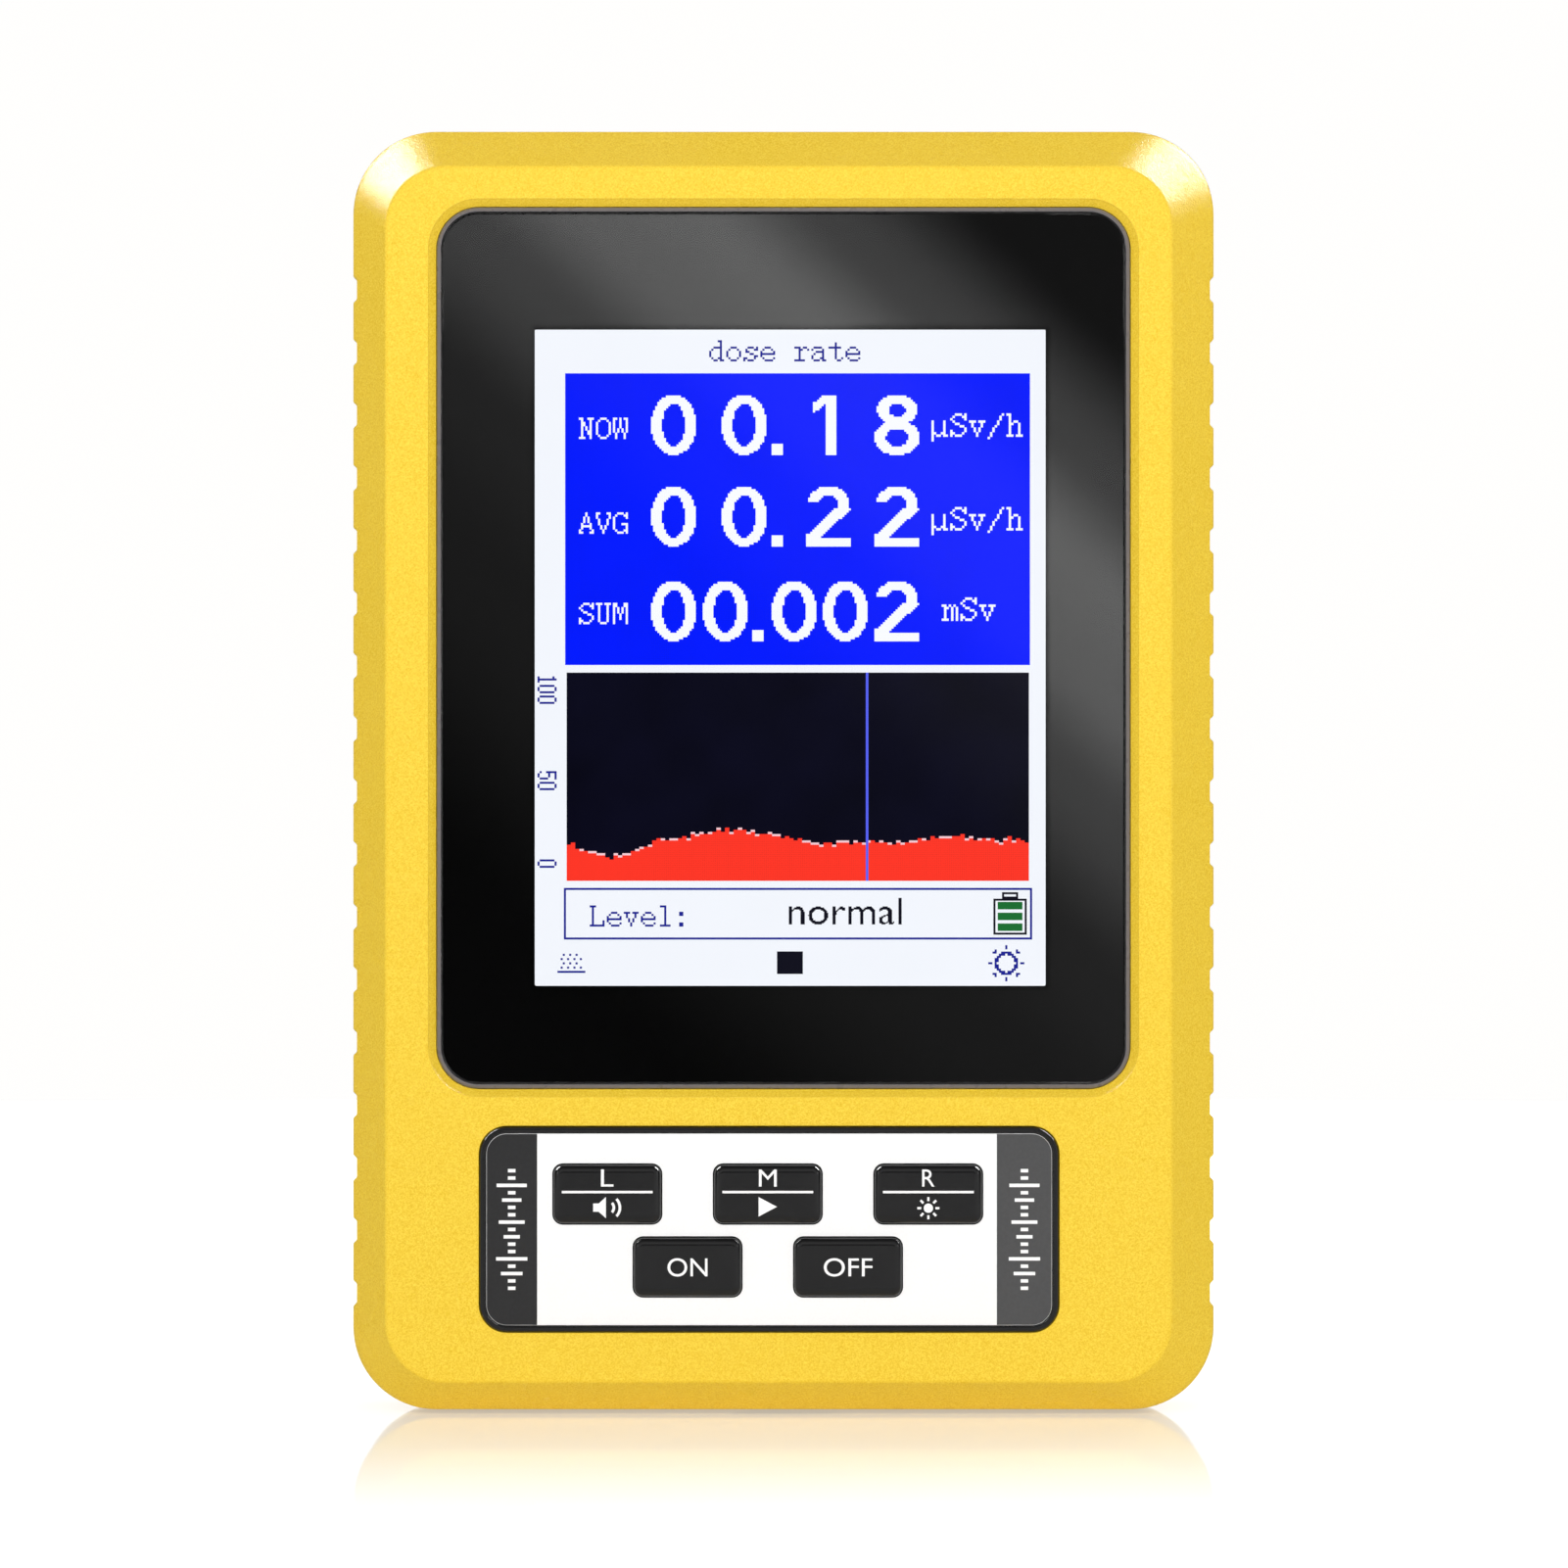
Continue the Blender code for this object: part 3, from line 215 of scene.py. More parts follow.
def centred(x, z, width, height, radius):
    return Outline(x - width / 2, x + width / 2, z - height / 2, z + height / 2, radius)


def around(count):
    """So many angles, evenly spaced round a circle."""
    return [math.tau * i / count for i in range(count)]


def places_of(names):
    """The centres in X and Z of several CAD nodes."""
    return [centre_of(box_of(name)) for name in names]


CASE = box_of("front_housing", CORNER_RADIUS)
FACE_Y, PARTING_Y = y_of("front_housing")
BACK_Y = y_of("rear_housing")[1]
SEAM_Y = PARTING_Y + GAP
FRONT_WALL_Y = FACE_Y + FRONT_WALL
BACK_WALL_Y = BACK_Y - BACK_WALL
FACE = Outline(
    CASE.left + FACE_CHAMFER["left"],
    CASE.right - FACE_CHAMFER["right"],
    CASE.bottom + FACE_CHAMFER["bottom"],
    CASE.top - FACE_CHAMFER["top"],
    FACE_RADIUS,
)
LENS = box_of("window_lens", LENS_RADIUS)
LENS_FRONT_Y, LENS_BACK_Y = y_of("window_lens")
KEYPAD = box_of("keypad_bezel", KEYPAD_RADIUS)
LABEL = box_of("rear_label", LABEL_RADIUS)
SCREEN = Outline(
    SCREEN_LEFT, SCREEN_LEFT + SCREEN_WIDTH, SCREEN_BOTTOM, SCREEN_BOTTOM + SCREEN_HEIGHT, 0.3
)
PANEL_Y = y_of("display_panel")[0]
HOUSING_SCREWS = [f"housing_screw_{n}" for n in range(1, 5)]
BOARD_SCREWS = [f"board_screw_{n}" for n in range(1, 5)]

GRIP_CENTRES = [GRIP_TOP_Z - GRIP_PITCH * i for i in range(GRIP_COUNT)]
GRIP_HEIGHTS = sorted(
    centre + side * (GRIP_FLOOR + (GRIP_MOUTH - GRIP_FLOOR) * step / 3)
    for centre in GRIP_CENTRES
    for side in (-1, 1)
    for step in range(4)
)


def grip_depth(z):
    """How far the side is cut in at a height: flat-bottomed notches with sloped, softened ends."""
    away = min(abs(z - centre) for centre in GRIP_CENTRES)
    share = min(max((GRIP_MOUTH - away) / (GRIP_MOUTH - GRIP_FLOOR), 0.0), 1.0)
    return GRIP_DEPTH * share * share * (3 - 2 * share)


def ring_points(outline, steps=ARC_STEPS, heights=(), grips=False):
    """Points round an outline, with extra ones down both sides at the given heights."""
    r = outline.radius
    corners = (
        (outline.right - r, outline.top - r, 0),
        (outline.left + r, outline.top - r, 90),
        (outline.left + r, outline.bottom + r, 180),
        (outline.right - r, outline.bottom + r, 270),
    )
    points = []
    for x, z, start in corners:
        for step in range(steps + 1):
            angle = math.radians(start + 90 * step / steps)
            points.append((x + r * math.cos(angle), z + r * math.sin(angle)))
        if start == 90:
            points += [(outline.left + grips * grip_depth(h), h) for h in reversed(heights)]
        elif start == 270:
            points += [(outline.right - grips * grip_depth(h), h) for h in heights]
    return points


def ring(y, outline, **options):
    return [Vector((x, y, z)) for x, z in ring_points(outline, **options)]


def case_ring(y, outline, grips=False):
    return ring(y, outline, heights=GRIP_HEIGHTS, grips=grips)


def rounded(before, edge, after, size, steps=4):
    """Rings that round the corner at an edge ring, between its neighbours on each side."""
    rings = [[] for _ in range(steps + 1)]
    for a, e, b in zip(before, edge, after):
        first = e + (a - e).normalized() * size
        last = e + (b - e).normalized() * size
        for step in range(steps + 1):
            t = step / steps
            rings[step].append(first * (1 - t) ** 2 + e * 2 * t * (1 - t) + last * t**2)
    return rings


# ---- Meshes ------------------------------------------------------------


def piece(name, mesh, material, body=ROOT, stands_for=()):
    """Puts a mesh in the scene as a piece that rides on a body."""
    obj = bpy.data.objects.new(name, mesh)
    bpy.context.scene.collection.objects.link(obj)
    if material:
        mesh.materials.clear()
        mesh.materials.append(material)
    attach(obj, body)
    if stands_for:
        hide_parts(*stands_for)
    return obj


def smooth(mesh, angle=35):
    mesh.shade_smooth()
    mesh.set_sharp_from_angle(angle=math.radians(angle))


def weighted(obj):
    """Lets large flat faces set the normals along their edges, so that they shade flat."""
    modifier = obj.modifiers.new("flat_faces", "WEIGHTED_NORMAL")
    modifier.keep_sharp = True
    modifier.weight = 100


def mesh_of(bm, name, angle=35):
    bmesh.ops.recalc_face_normals(bm, faces=bm.faces)
    mesh = bpy.data.meshes.new(name)
    bm.to_mesh(mesh)
    bm.free()
    smooth(mesh, angle)
    return mesh


def skin_mesh(name, rings):
    """A closed mesh through rings of points in millimetres, with a flat cap at each end."""
    bm = bmesh.new()
    loops = [[bm.verts.new(point * MM) for point in points] for points in rings]
    for near, far in zip(loops, loops[1:]):
        for i in range(len(near)):
            j = (i + 1) % len(near)
            bm.faces.new((near[i], near[j], far[j], far[i]))
    bm.faces.new(loops[0])
    bm.faces.new(loops[-1])
    return mesh_of(bm, name)


def plate_rings(outline, front, back, edge=0.0, steps=8, curve=4, flat=1.0):
    """Rings of a plate whose front edge is rounded by a quarter oval, flat times as deep as it is wide."""
    rings = []
    for step in range(curve + 1 if edge else 1):
        angle = math.pi / 2 * step / curve
        drop = edge * (1 - math.sin(angle))
        depth = edge * flat * (1 - math.cos(angle))
        rings.append(ring(front + depth, inset(outline, drop), steps=steps))
    rings.append(ring(back, outline, steps=steps))
    return rings


def plate_mesh(name, outline, front, back, edge=0.0, steps=8):
    return skin_mesh(name, plate_rings(outline, front, back, edge, steps))


def placed(data):
    """Puts mesh or curve data in the scene for a while, to be worked on."""
    obj = bpy.data.objects.new(data.name, data)
    bpy.context.scene.collection.objects.link(obj)
    return obj


def combine(mesh, steps):
    """Runs (operation, mesh) Booleans on a mesh, and returns the result."""
    target = placed(mesh)
    others = []
    for operation, other in steps:
        others.append(placed(other))
        modifier = target.modifiers.new(operation, "BOOLEAN")
        modifier.operation = operation
        modifier.object = others[-1]
    evaluated = target.evaluated_get(bpy.context.evaluated_depsgraph_get())
    made = bpy.data.meshes.new_from_object(evaluated)
    made.name = mesh.name
    for obj in [target, *others]:
        bpy.data.objects.remove(obj)
    smooth(made)
    return made


def cut(mesh, *cutters):
    return combine(mesh, [("DIFFERENCE", cutter) for cutter in cutters])


def well(name, outline, mouth, floor, lip=0.0, steps=12):
    """A cutter that sinks from its mouth to its floor along Y, with a rounded lip."""
    inward = 1 if floor > mouth else -1
    rings = [ring(mouth - inward, inset(outline, -lip), steps=steps)]
    for step in range(LIP_CURVE + 1 if lip else 1):
        angle = math.pi / 2 * step / LIP_CURVE
        y = mouth + inward * lip * (1 - math.cos(angle))
        rings.append(ring(y, inset(outline, -lip * (1 - math.sin(angle))), steps=steps))
    rings.append(ring(floor, outline, steps=steps))
    return skin_mesh(name, rings)


def rods(name, places, radius, front, back):
    """One mesh of a rod along Y at each place in X and Z."""
    bm = bmesh.new()
    across, depth = radius * MM, (back - front) * MM
    upright = Matrix.Rotation(math.pi / 2, 4, "X")
    for x, z in places:
        place = Matrix.Translation(Vector((x, (front + back) / 2, z)) * MM) @ upright
        sizes = {"segments": ROUND_STEPS, "radius1": across, "radius2": across, "depth": depth}
        bmesh.ops.create_cone(bm, cap_ends=True, matrix=place, **sizes)
    return mesh_of(bm, name)


def turned_mesh(name, profile, place):
    """A closed profile of (radius, y) points turned about an axis along Y through a place in X and Z."""
    bm = bmesh.new()
    loops = []
    for radius, y in profile:
        turn = around(ROUND_STEPS) if radius else [0.0]
        corners = [(place[0] + radius * math.cos(a), y, place[1] + radius * math.sin(a)) for a in turn]
        loops.append([bm.verts.new(Vector(corner) * MM) for corner in corners])
    for near, far in zip(loops, loops[1:]):
        for i in range(ROUND_STEPS):
            j = (i + 1) % ROUND_STEPS
            if len(near) == 1:
                bm.faces.new((near[0], far[j], far[i]))
            elif len(far) == 1:
                bm.faces.new((near[i], near[j], far[0]))
            else:
                bm.faces.new((near[i], near[j], far[j], far[i]))
    return mesh_of(bm, name)


def add_block(bm, left, right, bottom, top, front, back):
    size = Vector((right - left, back - front, top - bottom)) * MM
    centre = Vector(((left + right) / 2, (front + back) / 2, (bottom + top) / 2)) * MM
    bmesh.ops.create_cube(bm, size=1.0, matrix=Matrix.LocRotScale(centre, None, size))


# ---- Materials ---------------------------------------------------------


def add_node(tree, kind, inputs=None, **values):
    """Adds a node, sets its own values, and then sets or links its inputs by name or number."""
    made = tree.nodes.new(kind)
    for name, value in values.items():
        setattr(made, name, value)
    for socket, value in (inputs or {}).items():
        if isinstance(value, bpy.types.NodeSocket):
            tree.links.new(value, made.inputs[socket])
        else:
            made.inputs[socket].default_value = value
    return made


def map_range(tree, value, start, end, low=0.0, high=1.0):
    limits = {"Value": value, "From Min": start, "From Max": end, "To Min": low, "To Max": high}
    return add_node(tree, "ShaderNodeMapRange", limits).outputs["Result"]


def level_ramp(tree, value, levels):
    """A colour ramp with smooth grey levels at places from 0 to 1."""
    made = add_node(tree, "ShaderNodeValToRGB", {"Fac": value})
    ramp = made.color_ramp
    ramp.interpolation = "EASE"
    while len(ramp.elements) < len(levels):
        ramp.elements.new(1.0)
    for element, (place, level) in zip(ramp.elements, levels):
        element.position = place
        element.color = (level, level, level, 1.0)
    return made.outputs["Color"]


class Paint:
    """A Principled material, with helpers for the nodes that feed it."""

    def __init__(self, name, colour, roughness, metallic=0.0, **sockets):
        self.material = bpy.data.materials.new(name)
        self.material.use_nodes = True
        self.tree = self.material.node_tree
        self.shader = self.tree.nodes["Principled BSDF"]
        self.colour = colour
        self.set("Base Color", (*colour, 1.0))
        self.set("Roughness", roughness)
        self.set("Metallic", metallic)
        for socket, value in sockets.items():
            self.set(socket.replace("_", " "), value)
        self.where = self.node("ShaderNodeTexCoord").outputs["Object"]
        self.height = None

    def set(self, socket, value):
        self.shader.inputs[socket].default_value = value

    def node(self, kind, inputs=None, **values):
        return add_node(self.tree, kind, inputs, **values)

    def feed(self, socket, source):
        self.tree.links.new(source, self.shader.inputs[socket])

    def front_on(self):
        """Places turned so that a flat pattern lies across the part's front."""
        turn = {"Vector": self.where, "Rotation": (math.pi / 2, 0, 0)}
        return self.node("ShaderNodeMapping", turn).outputs["Vector"]

    def noise(self, size, detail=2.0, rough=0.5, stretch=(1, 1, 1)):
        """Noise whose features are about size millimetres across, stretched by so much along each axis."""
        scale = {"Vector": self.where, "Scale": [1 / s for s in stretch]}
        place = self.node("ShaderNodeMapping", scale).outputs["Vector"]
        inputs = {"Vector": place, "Scale": 1 / (size * MM), "Detail": detail, "Roughness": rough}
        return self.node("ShaderNodeTexNoise", inputs).outputs["Fac"]

    def remap(self, value, low, high, start=0.3, end=0.7):
        return map_range(self.tree, value, start, end, low, high)

    def blend(self, value, first, second, start=0.3, end=0.7):
        """A colour between two, by a pattern."""
        inputs = {"Factor": self.remap(value, 0.0, 1.0, start, end), "A": (*first, 1.0), "B": (*second, 1.0)}
        return self.node("ShaderNodeMix", inputs, data_type="RGBA").outputs["Result"]

    def tint(self, *pattern):
        """Lets a pattern blend the base colour between two."""
        self.feed("Base Color", self.blend(*pattern))

    def tone(self, value, dark=0.9, light=1.06):
        """Lets a pattern darken and lighten the base colour."""
        darker = [c * dark for c in self.colour]
        lighter = [min(c * light, 1.0) for c in self.colour]
        self.tint(value, darker, lighter)

    def gloss(self, value, low, high):
        self.feed("Roughness", self.remap(value, low, high))

    def bump(self, value, depth, strength=1.0):
        """Raises the surface by a pattern, depth millimetres from its low to its high places."""
        inputs = {"Height": value, "Distance": depth * MM, "Strength": strength}
        if self.height:
            inputs["Normal"] = self.height
        self.height = self.node("ShaderNodeBump", inputs).outputs["Normal"]
        self.feed("Normal", self.height)


def plain(name, colour, roughness, metallic=0.0, grain=0.4, tone=0.06, gloss=0.05, relief=0.004, **sockets):
    """A finish with a fine grain in its colour, roughness and surface."""
    made = Paint(name, colour, roughness, metallic, **sockets)
    pattern = made.noise(grain)
    made.tone(pattern, 1 - tone, 1 + tone)
    made.gloss(made.noise(grain * 6, detail=3), max(roughness - gloss, 0.02), roughness + gloss)
    made.bump(pattern, relief)
    return made.material


def case_plastic():
    """Moulded yellow plastic with a fine spark texture and a faint handling sheen."""
    made = Paint("case_yellow", (0.91, 0.62, 0.04), 0.28, Specular_IOR_Level=0.24)
    spark = made.noise(0.15, detail=2, rough=0.65)
    made.tint(spark, (0.81, 0.50, 0.014), (1.0, 0.735, 0.077), 0.28, 0.72)
    made.gloss(made.noise(14, detail=4), 0.25, 0.31)
    made.bump(spark, 0.03)
    made.bump(made.noise(0.9, detail=2), 0.03)
    return made.material


def brushed(name, colour, roughness, along=(1, 1, 12)):
    """Bare metal with fine lines along one direction."""
    made = Paint(name, colour, roughness, 1.0)
    lines = made.noise(0.12, detail=3, stretch=along)
    made.tone(lines, 0.88, 1.08)
    made.gloss(lines, roughness * 0.8, roughness * 1.3)
    made.bump(lines, 0.003)
    return made.material


def lit(name, colour, strength=1.0, fade=0.97, line=0.85):
    """A lit part of the display: a slow unevenness, and the fine dark lines between its cells."""
    made = Paint(name, (0.0, 0.0, 0.0), 0.4, Specular_IOR_Level=0.0)
    inputs = {
        "Vector": made.front_on(),
        "Color1": made.blend(made.noise(9.0), [c * fade for c in colour], colour),
        "Mortar": (*(c * line for c in colour), 1.0),
        "Scale": 1 / (LCD_PITCH * MM),
        "Brick Width": 1.0,
        "Row Height": 1.0,
        "Mortar Size": 0.12,
        "Mortar Smooth": 1.0,
        "Bias": -1.0,
    }
    cells = made.node("ShaderNodeTexBrick", inputs, offset=0.0)
    made.feed("Emission Color", cells.outputs["Color"])
    made.set("Emission Strength", strength)
    return made.material


def clear(name, colour, ior):
    """Clear glass or acrylic with a trace of surface unevenness."""
    made = Paint(name, colour, 0.0, Transmission_Weight=1.0, IOR=ior)
    made.bump(made.noise(9, detail=1), 0.004, strength=0.25)
    return made.material


def circuit_board():
    """Green resist over copper, with tracks as paler lines."""
    made = Paint("board_green", (0.02, 0.16, 0.06), 0.32, Specular_IOR_Level=0.5)
    inputs = {
        "Vector": made.front_on(),
        "Color1": (0.015, 0.13, 0.05, 1.0),
        "Color2": (0.02, 0.15, 0.055, 1.0),
        "Mortar": (0.05, 0.3, 0.11, 1.0),
        "Scale": 1 / (2.4 * MM),
        "Mortar Size": 0.05,
    }
    tracks = made.node("ShaderNodeTexBrick", inputs)
    made.feed("Base Color", tracks.outputs["Color"])
    made.gloss(made.noise(5), 0.26, 0.4)
    made.bump(tracks.outputs["Fac"], 0.02)
    return made.material


def foil():
    """The crinkled aluminium laminate of a pouch cell."""
    made = Paint("battery_foil", (0.55, 0.58, 0.6), 0.35, 0.9)
    creases = made.noise(4, detail=5, rough=0.6)
    made.tone(creases, 0.85, 1.1)
    made.gloss(creases, 0.25, 0.45)
    made.bump(creases, 0.25)
    return made.material


BLACK_GLOSS = plain(
    "black_gloss", (0.0045, 0.0045, 0.005), 0.13, grain=0.6, tone=0.2, gloss=0.02, relief=0.002
)
BAND_DARK = plain("band_dark", (0.017, 0.017, 0.018), 0.35, grain=0.3, tone=0.1, relief=0.002)
BAND_GREY = plain("band_grey", (0.066, 0.066, 0.068), 0.35, grain=0.3, tone=0.06, relief=0.002)
# A light grey painted on the lens's bevelled rim, standing in for the highlight its glossy bevel would catch.
RIM_PAINTED_HIGHLIGHT = plain("rim_frost", (0.17, 0.165, 0.19), 0.3, grain=0.2, tone=0.05, relief=0.003)
WHITE_INK = plain("white_ink", (0.97, 0.97, 0.97), 0.4, grain=0.15, tone=0.02, relief=0.002)

SLOT_LOOKS = {
    "case_yellow": case_plastic(),
    "clear_acrylic": clear("clear_acrylic_sheet", (1.0, 1.0, 1.0), 1.49),
    "black_print": plain(
        "black_print", (0.0015, 0.0015, 0.0018), 0.6, grain=2.0, tone=0.1, relief=0.0, Specular_IOR_Level=0.0
    ),
    "adhesive_tape": plain("foam_tape", (0.04, 0.04, 0.04), 0.85, grain=0.25, tone=0.2, relief=0.04),
    "display_glass": plain("panel_glass", (0.05, 0.055, 0.06), 0.1, grain=0.2, tone=0.1, relief=0.0005),
    "white_plastic": plain("white_plastic", (0.78, 0.78, 0.75), 0.5, grain=0.3, relief=0.01),
    "flex_polyimide": plain("flex_amber", (0.45, 0.2, 0.03), 0.3, grain=0.8, tone=0.15, relief=0.004),
    "black_gloss_plastic": BLACK_GLOSS,
    "white_plate": plain("white_plate", (0.97, 0.97, 0.97), 0.35, grain=0.2, tone=0.015, relief=0.003),
    "label_silver": plain("label_film", (0.55, 0.56, 0.58), 0.38, 0.35, grain=0.2, tone=0.05, relief=0.004),
    "board_green": circuit_board(),
    "tube_glass": clear("tube_glass", (0.93, 0.97, 0.96), 1.5),
    "tinned_metal": brushed("tinned_sheet", (0.7, 0.7, 0.68), 0.28),
    "brass": brushed("spring_brass", (0.75, 0.52, 0.2), 0.26),
    "steel": brushed("zinc_plated_steel", (0.6, 0.61, 0.63), 0.3, along=(6, 1, 6)),
    "ferrite": plain("ferrite", (0.045, 0.045, 0.05), 0.65, grain=0.25, tone=0.25, relief=0.03),
    "capacitor_blue": plain("dipped_epoxy", (0.02, 0.1, 0.4), 0.3, grain=2.0, tone=0.1, relief=0.06),
    "chip_black": plain("chip_black", (0.02, 0.02, 0.022), 0.5, grain=0.15, tone=0.25, relief=0.012),
    "battery_foil": foil(),
    "wire_red": plain("wire_red", (0.45, 0.015, 0.015), 0.38, grain=1.0, tone=0.08, relief=0.01),
    "wire_black": plain("wire_black", (0.015, 0.015, 0.016), 0.38, grain=1.0, tone=0.2, relief=0.01),
}


def dress_frame():
    """Gives each CAD node that stays in view its slot's look."""
    for row in frame["record"]["subparts"]:
        mesh = frame["nodes"][row["node"]].data
        mesh.materials.clear()
        mesh.materials.append(SLOT_LOOKS[row["material_slot"]])


def add(name, mesh, slot, body=ROOT, look=None, stands_for=()):
    return piece(name, mesh, look or SLOT_LOOKS[slot], body, stands_for)


# ---- Housings ----------------------------------------------------------


def grip_end_ring(inner, outer):
    """The ring on a chamfer where the grips run out, from its inner and outer edges."""
    points = []
    for a, b in zip(inner, outer):
        share = 1 - GRIP_DEPTH / max(abs(b.x - a.x), 1.0)
        points.append(a.lerp(b, share))
    return points


def chamfered(cap_y, cap, edge_y, end_y):
    """Rings from inside a flat cap, over its chamfer, to the end of the side wall."""
    flat = case_ring(cap_y, inset(cap, FACE_BORDER))
    inner = case_ring(cap_y, cap)
    outer = case_ring(edge_y, CASE)
    run_out = grip_end_ring(inner, outer)
    edge = case_ring(edge_y, CASE, grips=True)
    end = case_ring(end_y, CASE, grips=True)
    return [
        *rounded(flat, inner, run_out, EDGE_ROUND),
        run_out,
        *rounded(run_out, edge, end, RUN_OUT_ROUND)[1:],
        *rounded(edge, end, case_ring(end_y, inset(CASE, SEAM_SHELF)), SEAM_ROUND, steps=2),
    ]


def gutter():
    """A shallow slope round the window, from a fine step at the face down to the edge of the lens."""
    outer = inset(LENS, -GUTTER_WIDTH)
    inner = inset(LENS, -LENS_FIT)
    stages = ((-CLEAR, outer), (GUTTER_STEP, outer), (GUTTER_DEPTH, inner))
    return skin_mesh("gutter", [ring(FACE_Y + depth, outline) for depth, outline in stages])


def front_shell():
    """The front housing: a hollow shell with its pillars, posts, ledges and openings."""
    inner = inset(CASE, SIDE_WALL)
    groove = inset(CASE, GROOVE_INSET)
    groove_y = PARTING_Y - TONGUE_DEPTH - GAP
    rings = [
        *chamfered(FACE_Y, FACE, FACE_Y + CHAMFER_DEPTH, PARTING_Y),
        case_ring(PARTING_Y, groove),
        case_ring(groove_y, groove),
        case_ring(groove_y, inner),
        case_ring(FRONT_WALL_Y + INNER_SLOPE, inner),
        case_ring(FRONT_WALL_Y, inset(inner, INNER_SLOPE)),
    ]
    screws = places_of(HOUSING_SCREWS)
    board_screws = places_of(BOARD_SCREWS)
    tip = y_of(HOUSING_SCREWS[0])[0] - GAP
    board_tip = y_of(BOARD_SCREWS[0])[0] - GAP
    board_front = y_of("main_board")[0] - GAP
    into_wall = FRONT_WALL_Y - PILLAR_SINK
    past_wall = FRONT_WALL_Y + CLEAR
    display = inset(SCREEN, -DISPLAY_OPENING_MARGIN)
    keypad_place = inset(KEYPAD, -KEYPAD_FIT)
    keypad_floor = FACE_Y + KEYPAD_POCKET_DEPTH
    added = [
        rods("pillars", screws, SCREW_PILLAR_RADIUS, into_wall, PARTING_Y),
        rods("posts", board_screws, BOARD_POST_RADIUS, into_wall, board_front),
    ]
    taken = [
        rods("pillar_holes", screws, SCREW_HOLE_RADIUS, tip, PARTING_Y + CLEAR),
        rods("post_holes", board_screws, BOARD_HOLE_RADIUS, board_tip, board_front + CLEAR),
        gutter(),
        well("pocket", inset(LENS, -LENS_FIT), FACE_Y, FACE_Y + LENS_LEDGE_DEPTH),
        well("display_opening", display, FACE_Y, past_wall),
        well("keypad_pocket", keypad_place, FACE_Y, keypad_floor, lip=FINE_LIP),
        well("keypad_opening", inset(KEYPAD, KEYPAD_LEDGE), FACE_Y, past_wall),
        port_cutter(),
    ]
    mesh = worked(skin_mesh("front_shell", rings), added, taken)
    weighted(add("front_shell", mesh, "case_yellow", stands_for=["front_housing"]))


def worked(mesh, added, taken):
    """A mesh with others joined to it, and then others cut from it."""
    return combine(mesh, [("UNION", m) for m in added] + [("DIFFERENCE", m) for m in taken])


def port_cutter():
    """A round-ended hole for the charging socket, through the bottom wall."""
    low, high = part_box("charging_socket")
    width = (high.x - low.x) / MM + 2 * GAP
    depth = (high.y - low.y) / MM + 2 * GAP
    centre = (low + high) / 2 / MM
    radius = depth / 2 - 0.05
    lip = PORT_LIP
    stages = ((-CLEAR, lip), (0.0, lip), (lip * 0.3, lip * 0.3), (lip, 0.0), (SIDE_WALL + CLEAR, 0.0))
    rings = []
    for z, grow in stages:
        flat = ring_points(inset(centred(0, 0, width, depth, radius), -grow), steps=8)
        rings.append([Vector((centre.x + x, centre.y + y, z)) for x, y in flat])
    return skin_mesh("port", rings)


def sensor_slots():
    """Round-ended slots over the tube, that let weak radiation in."""
    tube_x = centre_of(box_of("tube_glass"))[0]
    width, height = SLOT_SIZE
    slots = []
    for i in range(SLOT_COUNT):
        outline = centred(tube_x, SLOT_TOP_Z - i * SLOT_PITCH, width, height, height / 2.05)
        slots.append(well(f"slot_{i}", outline, BACK_Y, BACK_WALL_Y - CLEAR, lip=SLOT_LIP, steps=8))
    return slots


def sound_hole_places():
    x, z = centre_of(box_of("buzzer"))
    outer = [(SOUND_HOLE_RING * math.cos(a), SOUND_HOLE_RING * math.sin(a)) for a in around(SOUND_HOLE_COUNT)]
    return [(x, z)] + [(x + across, z + up) for across, up in outer]


def round_well(name, place, radius, floor, lip):
    outline = centred(*place, 2 * radius, 2 * radius, radius)
    return well(name, outline, BACK_Y, floor, lip=lip, steps=8)


def rear_shell():
    """The rear housing: its tongue, pillars, counterbores, label recess, slots and sound holes."""
    inner = inset(CASE, SIDE_WALL)
    tongue = inset(CASE, TONGUE_INSET)
    tongue_y = PARTING_Y - TONGUE_DEPTH
    rings = [
        *chamfered(BACK_Y, inset(CASE, BACK_CHAMFER), BACK_Y - BACK_CHAMFER, SEAM_Y),
        case_ring(SEAM_Y, tongue),
        case_ring(tongue_y, tongue),
        case_ring(tongue_y, inner),
        case_ring(BACK_WALL_Y - INNER_SLOPE, inner),
        case_ring(BACK_WALL_Y, inset(inner, INNER_SLOPE)),
    ]
    screws = places_of(HOUSING_SCREWS)
    recess = y_of("rear_label")[0] - FILM_GAP
    bore_floor = BACK_Y - COUNTERBORE_DEPTH
    into_wall = BACK_WALL_Y + PILLAR_SINK
    added = [rods("rear_pillars", screws, SCREW_PILLAR_RADIUS, SEAM_Y, into_wall)]
    taken = [
        rods("shank_holes", screws, SCREW_HOLE_RADIUS, PARTING_Y - CLEAR, BACK_Y + CLEAR),
        well("label_recess", inset(LABEL, -GAP), BACK_Y, recess, lip=FINE_LIP),
    ]
    for i, place in enumerate(screws):
        bore = round_well(f"counterbore_{i}", place, COUNTERBORE_RADIUS, bore_floor, COUNTERBORE_LIP)
        taken.append(bore)
    for i, place in enumerate(sound_hole_places()):
        hole = round_well(f"sound_hole_{i}", place, SOUND_HOLE_RADIUS, BACK_WALL_Y - CLEAR, SOUND_HOLE_LIP)
        taken.append(hole)
    mesh = worked(skin_mesh("rear_shell", rings), added, taken + sensor_slots())
    weighted(add("rear_shell", mesh, "case_yellow", stands_for=["rear_housing"]))


